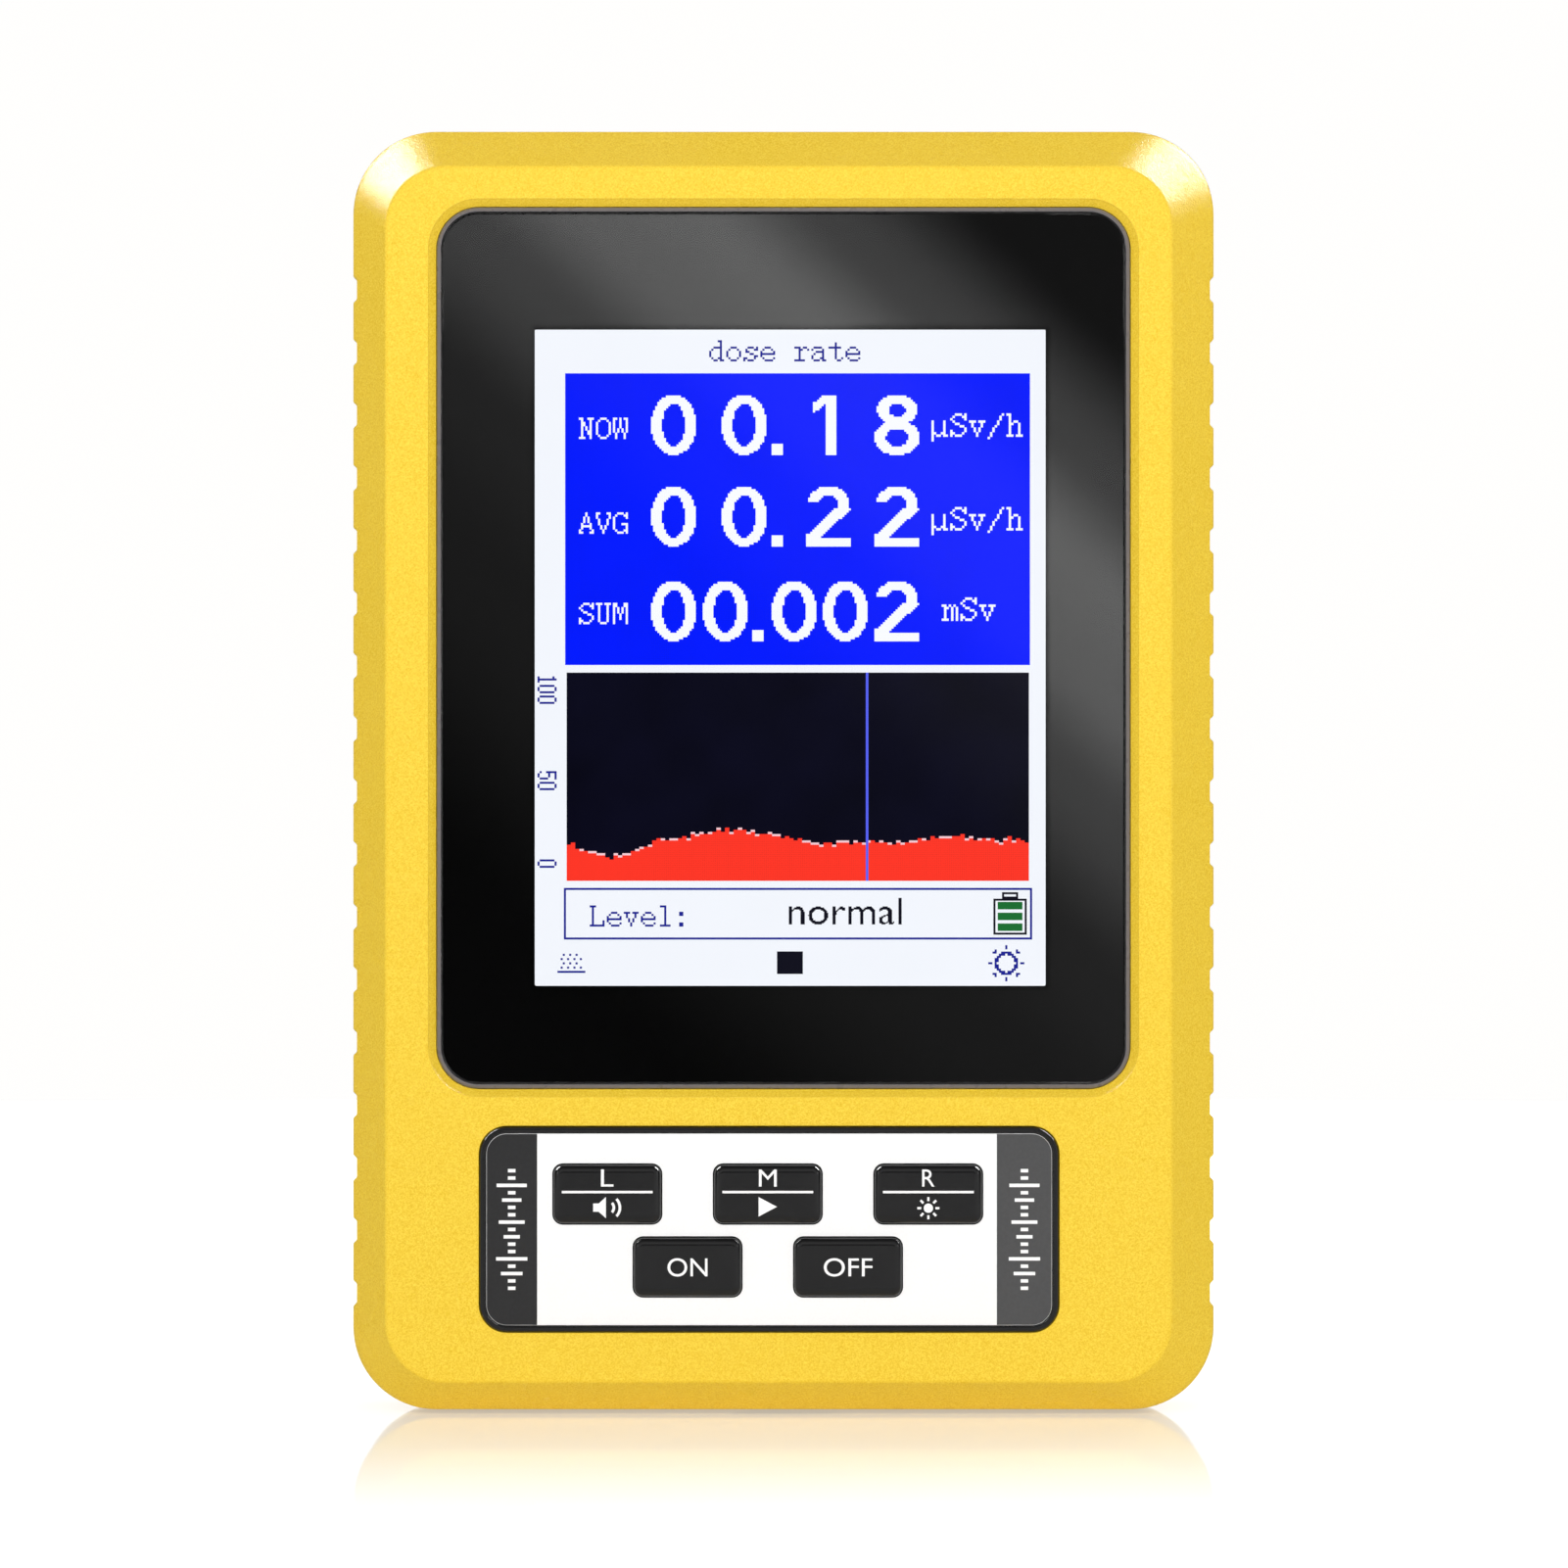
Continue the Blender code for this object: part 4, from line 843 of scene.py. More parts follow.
def case_screws():
    """Pan-head thread-forming screws with a cross recess, at the bottom of their counterbores."""
    for number, node in enumerate(HOUSING_SCREWS, 1):
        low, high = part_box(node)
        place = centre_of(box_of(node))
        head_radius = (high.x - low.x) / 2 / MM
        top, tip = high.y / MM, low.y / MM
        seat = top - SCREW_HEAD_DEPTH
        dome = [(head_radius * share, top - drop) for share, drop in SCREW_DOME]
        profile = [(0, top), *dome, (head_radius, seat), (THREAD_RADIUS, seat)]
        y = seat - THREAD_PITCH
        while y - THREAD_PITCH > tip + CLEAR:
            profile += [(radius, y - drop) for radius, drop in THREAD_TURN]
            y -= THREAD_PITCH
        profile += [(THREAD_ROOT, y), (TIP_RADIUS, tip), (0, tip)]
        body = turned_mesh(f"case_screw_{number}", profile, place)
        mesh = cut(body, cross_cutter(place, top - RECESS_DEPTH, top + CLEAR))
        add(f"case_screw_{number}", mesh, "steel", stands_for=[node])


def cross_cutter(place, front, back):
    """A tapering cross for a screw's recess."""
    points = []
    for turn in around(4):
        c, s = round(math.cos(turn)), round(math.sin(turn))
        points += [(x * c - z * s, x * s + z * c) for x, z in RECESS_CORNER]
    rings = []
    for y, share in zip((front, back), RECESS_TAPER):
        rings.append([Vector((place[0] + x * share, y, place[1] + z * share)) for x, z in points])
    return skin_mesh("cross", rings)


def label():
    """The film of the rear label, with a printed border and ruled lines."""
    front, back = y_of("rear_label")
    print_back = back + PRINT_THICKNESS
    film = plate_mesh("label_film", LABEL, front, back, steps=12)
    add("label_film", film, "label_silver", stands_for=["rear_label"])
    outer, inner = (inset(LABEL, distance) for distance in LABEL_BORDER)
    sheet = plate_mesh("border", outer, back, print_back, steps=12)
    opening = plate_mesh("opening", inner, back - CLEAR, back + CLEAR, steps=12)
    bm = bmesh.new()
    bm.from_mesh(cut(sheet, opening))
    pitch = (inner.top - inner.bottom) / LABEL_ROWS
    half = LABEL_LINE / 2
    for row in range(1, LABEL_ROWS):
        z = inner.bottom + row * pitch
        add_block(bm, inner.left + 1, inner.right - 1, z - half, z + half, back, print_back)
    add("label_rules", mesh_of(bm, "label_rules"), "label_silver", look=BAND_DARK)


# ---- Window ------------------------------------------------------------


def window():
    """The lens with its bevelled rim, whose steep faces carry a painted highlight in light grey, and the
    black border printed behind it.
    """
    rings = [ring(LENS_FRONT_Y + depth, inset(LENS, drop)) for depth, drop in LENS_RIM]
    rings.append(ring(LENS_BACK_Y, LENS))
    lens = add("lens", skin_mesh("lens", rings), "clear_acrylic", stands_for=["window_lens"])
    lens.data.materials.append(RIM_PAINTED_HIGHLIGHT)
    # Faces run ring by ring from the front, so the third and fourth rounds of them are the steep ones; these
    # take the light grey painted on as the bevel's highlight.
    count = len(rings[0])
    for face in lens.data.polygons[2 * count : 4 * count]:
        face.material_index = 1
    weighted(lens)

    front, back = y_of("window_mask")
    sheet = plate_mesh("border_print", inset(LENS, BORDER_INSET), front, back, steps=20)
    mesh = cut(sheet, well("mask_opening", SCREEN, front, back + CLEAR, steps=4))
    add("border_print", mesh, "black_print", stands_for=["window_mask"])


# ---- Display picture ---------------------------------------------------

# Places on the display are measured right and up from the lower left corner of its lit area.
LAYER = 0.02
LAYER_GAP = 0.04
GROUND, PANEL, MARK, TIP, CURSOR = range(5)

GLOW = 1.09
LCD_WHITE = lit("lcd_white", (0.90, 0.93, 0.99), GLOW, 0.985, 0.97)
LCD_BLUE = lit("lcd_blue", (0.0, 0.010, 0.99), 1.2, 0.9, 0.72)
LCD_BLACK = lit("lcd_black", (0.0028, 0.0028, 0.013), GLOW, 0.4, 0.9)
LCD_RED = lit("lcd_red", (0.97, 0.037, 0.02), 1.18, 0.97, 0.7)
LCD_PINK = lit("lcd_pink", (0.95, 0.62, 0.68), GLOW)
LCD_VIOLET = lit("lcd_violet", (0.10, 0.13, 0.95), GLOW)
LCD_NAVY = lit("lcd_navy", (0.012, 0.018, 0.30), GLOW, 0.9)
LCD_INK = lit("lcd_ink", (0.006, 0.006, 0.014), GLOW, 0.8)
LCD_TEXT = lit("lcd_text", (0.95, 0.97, 1.0), GLOW, 1.0, 0.95)
LCD_GREEN = lit("lcd_green", (0.013, 0.17, 0.035), GLOW, 0.9)


def add_cell(bm, left, right, bottom, top, layer):
    """A thin lit block on the display, in display places."""
    x, z = SCREEN.left, SCREEN.bottom
    back = PANEL_Y - LAYER_GAP - layer * LAYER
    add_block(bm, x + left, x + right, z + bottom, z + top, back - LAYER * 0.6, back)


def lit_piece(name, bm, look):
    return add(name, mesh_of(bm, name), "display_glass", look=look)


def letters(text):
    """The flat shape of some text, as a mesh in X and Y."""
    curve = bpy.data.curves.new("letters", "FONT")
    curve.body = text
    curve.resolution_u = 6
    obj = placed(curve)
    mesh = bpy.data.meshes.new_from_object(obj.evaluated_get(bpy.context.evaluated_depsgraph_get()))
    bpy.data.objects.remove(obj)
    bpy.data.curves.remove(curve)
    return mesh


def extent(mesh):
    """The lowest and the highest X and Y of a flat mesh."""
    across = [v.co.x for v in mesh.vertices]
    up = [v.co.y for v in mesh.vertices]
    return min(across), max(across), min(up), max(up)


def filled_cells(mesh, columns, rows):
    """Which cells of a grid fitted to a flat mesh it covers, as rows of true and false from the bottom."""
    left, right, bottom, top = extent(mesh)
    tree = BVHTree.FromPolygons([v.co for v in mesh.vertices], [list(p.vertices) for p in mesh.polygons])
    down = Vector((0, 0, -1))
    grid = []
    for row in range(rows):
        y = bottom + (top - bottom) * (row + 0.5) / rows
        across = [left + (right - left) * (column + 0.5) / columns for column in range(columns)]
        grid.append([tree.ray_cast(Vector((x, y, 1)), down)[0] is not None for x in across])
    return grid


def runs(line):
    """The first and last-plus-one places of each unbroken stretch of true in a line."""
    found, start = [], None
    for place, on in enumerate([*line, False]):
        if on and start is None:
            start = place
        elif not on and start is not None:
            found.append((start, place))
            start = None
    return found


# Dot-matrix letters, one string a row from the top. Rows under the base line start with the tenth.
GLYPHS = {
    "A": "...x... ...x... ..x.x.. ..x.x.. ..x.x.. .x...x. .xxxxx. .x...x. x.....x xx...xx",
    "G": "..xxx.x .x...xx x.....x x...... x...... x...xxx x.....x x.....x .x...xx ..xxx.x",
    "L": "xxx.... .x..... .x..... .x..... .x..... .x..... .x..... .x....x .x....x xxxxxxx",
    "M": "xx...xx xx...xx x.x.x.x x.x.x.x x.x.x.x x..x..x x..x..x x..x..x x.....x x.....x",
    "N": "xx..xxx .x...x. .xx..x. .xx..x. .x.x.x. .x.x.x. .x..xx. .x..xx. .x...x. xxx..x.",
    "O": "..xxx.. .x...x. x.....x x.....x x.....x x.....x x.....x x.....x .x...x. ..xxx..",
    "S": "..xxx.x .x...xx x.....x .x..... ..xx... ....xx. ......x x.....x xx...x. x.xxx..",
    "U": "xxx.xxx .x...x. .x...x. .x...x. .x...x. .x...x. .x...x. .x...x. .x...x. ..xxx..",
    "V": "xx...xx x.....x x.....x .x...x. .x...x. .x...x. ..x.x.. ..x.x.. ...x... ...x...",
    "W": "xx.x.xx x..x..x x..x..x x..x..x x..x..x x.x.x.x x.x.x.x .x...x. .x...x. .x...x.",
    "a": "....... ....... ....... .xxxx.. x....x. ..xxxx. .x...x. x....x. x...xx. .xxx.xx",
    "d": "....xx. .....x. .....x. ..xxxx. .x...x. x....x. x....x. x....x. .x..xx. ..xx.xx",
    "e": "....... ....... ....... ..xxx.. .x...x. x.....x xxxxxxx x...... .x....x ..xxxx.",
    "h": "xx..... .x..... .x..... .x.xx.. .xx..x. .x...x. .x...x. .x...x. .x...x. xxx.xxx",
    "l": ".xxx... ...x... ...x... ...x... ...x... ...x... ...x... ...x... ...x... .xxxxx.",
    "m": "....... ....... ....... xx.x.x. .xx.x.x .x..x.x .x..x.x .x..x.x .x..x.x xxx.x.x",
    "o": "....... ....... ....... ..xxx.. .x...x. x.....x x.....x x.....x .x...x. ..xxx..",
    "r": "....... ....... ....... xxx.xx. ..xx..x ..x.... ..x.... ..x.... ..x.... xxxxx..",
    "s": "....... ....... ....... ..xxx.x .x...xx .xx.... ...xx.. .....xx xx...x. x.xxx..",
    "t": "....... ...x... ...x... xxxxxx. ...x... ...x... ...x... ...x... ...x..x ....xx.",
    "v": "....... ....... ....... xxx.xxx .x...x. .x...x. ..x.x.. ..x.x.. ...x... ...x...",
    "/": "......x .....x. .....x. ....x.. ....x.. ...x... ..x.... ..x.... .x..... .x..... x......",
    "µ": "....... ....... ....... x....x. x....x. x....x. x....x. x....x. xx..xx. x.xx.xx x...... x......",
    ":": "....... ....... ....... ..xx... ..xx... ....... ....... ....... ..xx... ..xx...",
    " ": ".",
}
SMALL_DIGITS = {
    "0": ".xx. x..x x..x x..x x..x x..x x..x x..x .xx.",
    "1": "..x. .xx. ..x. ..x. ..x. ..x. ..x. ..x. .xxx",
    "5": "xxxx x... x... xxx. x..x ...x ...x x..x .xx.",
}
LETTER_ADVANCE = 8
LETTER_ROWS = 10


def add_text(bm, text, left, base, layer, cell=LCD_PITCH):
    """Dot-matrix text, its base line starting at left and base."""
    for place, letter in enumerate(text):
        x = left + place * LETTER_ADVANCE * cell
        for row, line in enumerate(GLYPHS[letter].split()):
            bottom = base + (LETTER_ROWS - 1 - row) * cell
            for start, end in runs([mark == "x" for mark in line]):
                add_cell(bm, x + start * cell, x + end * cell, bottom, bottom + cell, layer)


def add_scale_number(bm, text, left, top):
    """Small digits turned a quarter turn clockwise, read from the top down."""
    for place, digit in enumerate(text):
        rows = SMALL_DIGITS[digit].split()
        start = top - place * 5 * LCD_PITCH
        for row, line in enumerate(rows):
            x = left + (len(rows) - 1 - row) * LCD_PITCH
            for first, last in runs([mark == "x" for mark in line]):
                low, high = start - last * LCD_PITCH, start - first * LCD_PITCH
                add_cell(bm, x, x + LCD_PITCH, low, high, PANEL)


def add_grid(bm, covers, left, right, bottom, top, layer):
    """Fills the cells of a box whose middles the covers(x, y) test accepts."""
    cell = LCD_PITCH
    for row in range(round((top - bottom) / cell)):
        y = bottom + (row + 0.5) * cell
        line = [covers(left + (column + 0.5) * cell, y) for column in range(round((right - left) / cell))]
        for start, end in runs(line):
            add_cell(bm, left + start * cell, left + end * cell, y - cell / 2, y + cell / 2, layer)


def add_word(bm, text, left, right, bottom, top):
    """Smooth text drawn in cells of half the pitch, fitted to a box on the display."""
    mesh = letters(text)
    cell = LCD_PITCH / 2
    columns, rows = round((right - left) / cell), round((top - bottom) / cell)
    open_runs = {}
    for row, line in enumerate([*filled_cells(mesh, columns, rows), [False] * columns]):
        now = set(runs(line))
        for span in [s for s in open_runs if s not in now]:
            low, high = bottom + open_runs.pop(span) * cell, bottom + row * cell
            add_cell(bm, left + span[0] * cell, left + span[1] * cell, low, high, PANEL)
        for span in now:
            open_runs.setdefault(span, row)
    bpy.data.meshes.remove(mesh)


READINGS_BOX = (2.82, 46.0, 29.8, 56.9)
CHART_BOX = (2.96, 45.9, 9.75, 29.1)


def display_ground():
    """The white ground, the blue readings panel and the black chart."""
    for name, look, box, layer in (
        ("lcd_ground", LCD_WHITE, (0.0, SCREEN_WIDTH, 0.0, SCREEN_HEIGHT), GROUND),
        ("lcd_readings_panel", LCD_BLUE, READINGS_BOX, PANEL),
        ("lcd_chart_panel", LCD_BLACK, CHART_BOX, PANEL),
    ):
        bm = bmesh.new()
        add_cell(bm, *box, layer)
        lit_piece(name, bm, look)


DIGIT_WIDTH = 4.2
DIGIT_HEIGHT = 5.6
STROKE = 1.05
THIN_STROKE = 0.8


def on_ring(x, y, centre_y, half_width, half_height):
    """Whether a place is on the stroke of an oval, thinner at its top and bottom than at its sides."""
    y -= centre_y
    outer = math.hypot(x / half_width, y / half_height) <= 1
    return outer and math.hypot(x / (half_width - STROKE), y / (half_height - THIN_STROKE)) > 1


# Each of these tells whether a place is on a digit's stroke, from the middle of the digit's base.
def on_zero(x, y):
    return on_ring(x, y, DIGIT_HEIGHT / 2, DIGIT_WIDTH / 2, DIGIT_HEIGHT / 2)


def on_one(x, y):
    stem = 0.05 <= x <= 1.15
    flag = -1.15 <= x < 0.1 and 3.85 <= y - 0.75 * (x + 1.15) <= 4.75
    return stem or flag


def on_two(x, y):
    if y <= THIN_STROKE:
        return True
    if y >= 3.6:
        return on_ring(x, y, 3.9, 1.95, 1.7) and (y > 4.1 or x > 0)
    middle = -1.55 + (y - THIN_STROKE) * 1.05
    return abs(x - middle) < STROKE * 0.72


def on_eight(x, y):
    return on_ring(x, y, 4.2, 1.85, 1.42) or on_ring(x, y, 1.62, 2.1, 1.62)


DIGITS = {"0": on_zero, "1": on_one, "2": on_two, "8": on_eight}


def add_reading(bm, digits, base, middles, dot_x):
    """One row of large digits and its decimal point."""
    half = DIGIT_WIDTH / 2
    for digit, middle in zip(digits, middles):
        covers = DIGITS[digit]
        moved = lambda x, y: covers(x - middle, y - base)
        add_grid(bm, moved, middle - half, middle + half, base, base + DIGIT_HEIGHT, MARK)
    add_cell(bm, dot_x, dot_x + STROKE, base, base + STROKE, MARK)


# A row of the readings: its large digits, the middle of each of them and the left of the decimal point,
# and its name and unit with their places.
Reading = namedtuple("Reading", "digits base middles dot_x name name_z unit unit_x unit_z")
READINGS = (
    Reading("0018", 49.3, (12.9, 19.45, 26.95, 33.65), 22.0, "NOW", 50.8, "µSv/h", 36.85, 51.0),
    Reading("0022", 40.8, (12.9, 19.45, 27.3, 33.65), 22.0, "AVG", 42.0, "µSv/h", 36.85, 42.3),
    Reading("00002", 32.0, (12.9, 17.7, 24.1, 28.85, 33.65), 20.2, "SUM", 33.6, "mSv", 37.8, 33.9),
)
NAME_X = 4.1
UNIT_CELL = 1.1 * LCD_PITCH


def display_readings():
    """Three rows: the rate now, its average and the dose so far."""
    bm = bmesh.new()
    for row in READINGS:
        add_reading(bm, row.digits, row.base, row.middles, row.dot_x)
        add_text(bm, row.name, NAME_X, row.name_z, MARK)
        add_text(bm, row.unit, row.unit_x, row.unit_z, MARK, UNIT_CELL)
    lit_piece("lcd_readings", bm, LCD_TEXT)


# Swells and dips of the chart: height, middle and reach of each.
SWELLS = ((1.25, 18.0, 5.5), (-1.2, 7.0, 2.6), (0.7, 38.0, 3.5), (0.35, 31.0, 0.8), (0.4, 45.0, 4.0))
CHART_LEVEL = 3.45
CURSOR_X = 30.75
CURSOR_WIDTH = 1.2 * LCD_PITCH
TIP_CHANCE = 0.55


def count_height(x):
    """The height of the chart's bar at x."""
    swells = (rise * math.exp(-(((x - middle) / reach) ** 2)) for rise, middle, reach in SWELLS)
    return CHART_LEVEL + sum(swells)


def display_chart():
    """Red count bars with pale tips, and the upright cursor line."""
    bars, tips = bmesh.new(), bmesh.new()
    chance = random.Random(7)
    left, right, base, top = CHART_BOX
    count = int((right - left) / (2 * LCD_PITCH))
    step = (right - left) / count
    for i in range(count):
        x = left + i * step
        wander = chance.choice((-1, 0, 0, 1))
        height = round(count_height(x) / LCD_PITCH + wander) * LCD_PITCH
        add_cell(bars, x, x + step, base, base + height, MARK)
        if chance.random() < TIP_CHANCE:
            add_cell(tips, x, x + step, base + height - LCD_PITCH, base + height, TIP)
    lit_piece("lcd_bars", bars, LCD_RED)
    lit_piece("lcd_bar_tips", tips, LCD_PINK)
    cursor = bmesh.new()
    add_cell(cursor, CURSOR_X, CURSOR_X + CURSOR_WIDTH, base, top, CURSOR)
    lit_piece("lcd_cursor", cursor, LCD_VIOLET)


def add_frame(bm, left, right, bottom, top):
    """A line one cell wide round a box."""
    line = LCD_PITCH
    add_cell(bm, left, right, bottom, bottom + line, PANEL)
    add_cell(bm, left, right, top - line, top, PANEL)
    add_cell(bm, left, left + line, bottom + line, top - line, PANEL)
    add_cell(bm, right - line, right, bottom + line, top - line, PANEL)


# The sun's ring and rays, by how many cells they are from its middle, and its rays' half width in degrees.
SUN_RING = (4.0, 5.4)
SUN_RAYS = (6.2, 8.3)
SUN_RAY_SPREAD = 6


def add_sun(bm, x, z):
    """A ring with eight short rays, cell by cell about a middle."""
    half = math.floor(SUN_RAYS[1])
    for row in range(-half, half + 1):
        line = []
        for column in range(-half, half + 1):
            away = math.hypot(row, column)
            turn = math.degrees(math.atan2(row, column)) % 45
            ray = SUN_RAYS[0] < away < SUN_RAYS[1] and min(turn, 45 - turn) < SUN_RAY_SPREAD
            line.append(SUN_RING[0] < away < SUN_RING[1] or ray)
        low = z + (row - 0.5) * LCD_PITCH
        for start, end in runs(line):
            left, right = (x + (edge - half - 0.5) * LCD_PITCH for edge in (start, end))
            add_cell(bm, left, right, low, low + LCD_PITCH, PANEL)


SHOWER_WIDTH = 2.6
SHOWER_MARGIN = 0.3


def add_shower(bm, left, bottom):
    """A base line with rows of dots over it."""
    add_cell(bm, left, left + SHOWER_WIDTH, bottom, bottom + LCD_PITCH, PANEL)
    for row in range(4):
        for column in range(4 - row % 2):
            x = left + SHOWER_MARGIN + (column * 3 + row % 2) * LCD_PITCH
            z = bottom + (row * 2 + 2) * LCD_PITCH
            add_cell(bm, x, x + LCD_PITCH, z, z + LCD_PITCH, PANEL)


STATUS_BOX = (2.7, 46.2, 4.3, 9.1)
STATUS_WORD_BOX = (23.6, 34.1, 5.7, 8.15)
MARK_BOX = (22.5, 24.9, 1.1, 3.2)
BATTERY_BOXES = ((42.6, 45.7, 4.75, 8.1), (43.4, 44.9, 8.1, 8.7))
BATTERY_BARS = [(43.0, 45.3, bottom, bottom + 0.7) for bottom in (5.1, 6.1, 7.1)]
SUN_MIDDLE = (43.8, 2.1)
SHOWER_CORNER = (2.1, 1.2)
SCALE_X = 0.25
SCALE_NUMBERS = (("100", 28.95), ("50", 19.95), ("0", 11.75))
LABELS = (("dose rate", 16.2, 58.0), ("Level:", 5.1, 5.5))


def display_labels():
    """The title, the chart's scale, the status line and the icons under it."""
    navy = bmesh.new()
    for text, left, base in LABELS:
        add_text(navy, text, left, base, PANEL)
    for text, top in SCALE_NUMBERS:
        add_scale_number(navy, text, SCALE_X, top)
    add_frame(navy, *STATUS_BOX)
    add_sun(navy, *SUN_MIDDLE)
    add_shower(navy, *SHOWER_CORNER)
    lit_piece("lcd_labels", navy, LCD_NAVY)

    ink = bmesh.new()
    add_word(ink, "normal", *STATUS_WORD_BOX)
    add_cell(ink, *MARK_BOX, PANEL)
    for box in BATTERY_BOXES:
        add_frame(ink, *box)
    lit_piece("lcd_status", ink, LCD_INK)

    green = bmesh.new()
    for box in BATTERY_BARS:
        add_cell(green, *box, PANEL)
    lit_piece("lcd_battery_bars", green, LCD_GREEN)


# ---- Keypad ------------------------------------------------------------


def key_outline(key):
    """The cap's outline; its CAD node's box is that of the wider flange."""
    x, z = centre_of(box_of(f"key_cap_{key}"))
    return centred(x, z, KEY_WIDTH, KEY_HEIGHT, KEY_RADIUS)


def key_hole(key, front, back):
    return well(f"hole_{key}", inset(key_outline(key), -KEY_CLEARANCE), front, back, steps=6)


def keypad():
    """The glossy bezel, the white faceplate in it, and the dark band at each of its ends."""
    rim_y, back_y = y_of("keypad_bezel")
    plate_y, plate_back = y_of("keypad_faceplate")
    recess = inset(KEYPAD, BEZEL_RIM)
    holes = [key_hole(key, rim_y, back_y + CLEAR) for key in KEYS]
    body = plate_mesh("bezel", KEYPAD, rim_y, back_y, edge=BEZEL_EDGE, steps=16)
    bezel = cut(body, well("recess", recess, rim_y, plate_back + FILM_GAP, lip=RECESS_LIP, steps=16), *holes)
    weighted(add("bezel", bezel, "black_gloss_plastic", stands_for=["keypad_bezel"]))

    plate = inset(recess, FILM_GAP)
    mesh = cut(plate_mesh("faceplate", plate, plate_y, plate_back, edge=PLATE_EDGE, steps=16), *holes)
    add("faceplate", mesh, "white_plate", stands_for=["keypad_faceplate"])
    band("band_left", BAND_DARK, plate, plate_y, plate.left, BAND_LEFT_END)
    band("band_right", BAND_GREY, plate, plate_y, BAND_RIGHT_START, plate.right)


def band(name, look, plate, plate_y, left, right):
    """A dark print over one end of the faceplate, with a row of bars like counts from a detector."""
    back = plate_y - BAND_LIFT
    front = back - BAND_THICKNESS
    sheet = plate_mesh(name, inset(plate, BAND_INSET), front, back, steps=16)
    keep = Outline(left, right, plate.bottom - CLEAR, plate.top + CLEAR, 0.01)
    block = plate_mesh("keep", keep, plate_y - CLEAR, plate_y + CLEAR, steps=1)
    add(name, combine(sheet, [("INTERSECT", block)]), "black_gloss_plastic", look=look)

    bm = bmesh.new()
    x = (left + right) / 2
    print_back = front - BAND_LIFT
    start = centre_of(KEYPAD)[1] - MARK_PITCH * (len(MARK_LENGTHS) - 1) / 2
    for i, length in enumerate(MARK_LENGTHS):
        mark = centred(x, start + i * MARK_PITCH, length, MARK_WIDTH, 0)
        sides = (mark.left, mark.right, mark.bottom, mark.top)
        add_block(bm, *sides, print_back - PRINT_THICKNESS, print_back)
    add(f"{name}_marks", mesh_of(bm, name), "white_plate", look=WHITE_INK)


def flat_print(name, mesh, box, y, body):
    """Flat artwork from a mesh in X and Y, fitted to a box in X and Z and given a little thickness."""
    left, right, bottom, top = box
    low_x, high_x, low_y, high_y = extent(mesh)
    for vertex in mesh.vertices:
        across = (vertex.co.x - low_x) / (high_x - low_x)
        up = (vertex.co.y - low_y) / (high_y - low_y)
        vertex.co = Vector((left + (right - left) * across, y, bottom + (top - bottom) * up)) * MM
    bm = bmesh.new()
    bm.from_mesh(mesh)
    bpy.data.meshes.remove(mesh)
    grown = bmesh.ops.extrude_face_region(bm, geom=bm.faces[:])["geom"]
    moved = [item for item in grown if isinstance(item, bmesh.types.BMVert)]
    bmesh.ops.translate(bm, vec=(0, -PRINT_THICKNESS * MM, 0), verts=moved)
    add(name, mesh_of(bm, name, angle=20), "white_plate", body=body, look=WHITE_INK)


def polygon_mesh(shapes):
    """Several flat outlines in X and Y as one mesh."""
    bm = bmesh.new()
    for shape in shapes:
        bm.faces.new([bm.verts.new((x, y, 0)) for x, y in shape])
    mesh = bpy.data.meshes.new("icon")
    bm.to_mesh(mesh)
    bm.free()
    return mesh


def arc(cx, cy, radius, turns):
    """Points in X and Y round a middle, at angles in radians."""
    return [(cx + radius * math.cos(turn), cy + radius * math.sin(turn)) for turn in turns]


def wave(cx, cy, radius):
    """A curved bar in X and Y, reaching alike to each side of the X axis."""
    turns = [math.radians(WAVE_REACH * i / 5) for i in range(-5, 6)]
    half = WAVE_WIDTH / 2
    return arc(cx, cy, radius + half, turns) + arc(cx, cy, radius - half, turns)[::-1]


def bar(middle, length, width, turn):
    """A straight bar in X and Y about its middle."""
    ux, uy = math.cos(turn) * length / 2, math.sin(turn) * length / 2
    vx, vy = -math.sin(turn) * width / 2, math.cos(turn) * width / 2
    signs = ((-1, -1), (1, -1), (1, 1), (-1, 1))
    return [(middle[0] + p * ux + q * vx, middle[1] + p * uy + q * vy) for p, q in signs]


# What is printed on an upper key: the letter and its width, and the icon's outlines, width and height.
KeyPrint = namedtuple("KeyPrint", "letter letter_width shapes width height")
WAVE_WIDTH = 0.22
WAVE_REACH = 42
SPEAKER = [(0.0, 0.55), (0.45, 0.55), (1.05, 0.0), (1.05, 1.8), (0.45, 1.25), (0.0, 1.25)]
WAVES = [wave(1.1, 0.9, radius) for radius in (0.6, 1.1)]
ARROW = [(0.0, 0.0), (1.5, 0.85), (0.0, 1.7)]
SUN = arc(1, 0.9, 0.42, around(24))
RAYS = [bar(middle, 0.36, 0.2, turn) for middle, turn in zip(arc(1, 0.9, 0.82, around(8)), around(8))]
KEY_PRINTS = {
    "sound": KeyPrint("L", 1.15, [SPEAKER, *WAVES], 2.6, 1.95),
    "play": KeyPrint("M", 1.65, [ARROW], 1.7, 1.8),
    "light": KeyPrint("R", 1.15, [SUN, *RAYS], 2.05, 2.05),
}
KEY_WORD_WIDTHS = {"on": 3.7, "off": 4.5}
SQUARE = [(0, 0), (1, 0), (1, 1), (0, 1)]
LETTER_RISE = (0.72, 2.3)
RULE_REACH = 4.2
RULE_RISE = (0.1, 0.32)
ICON_DROP = 0.25
WORD_REACH = 0.85


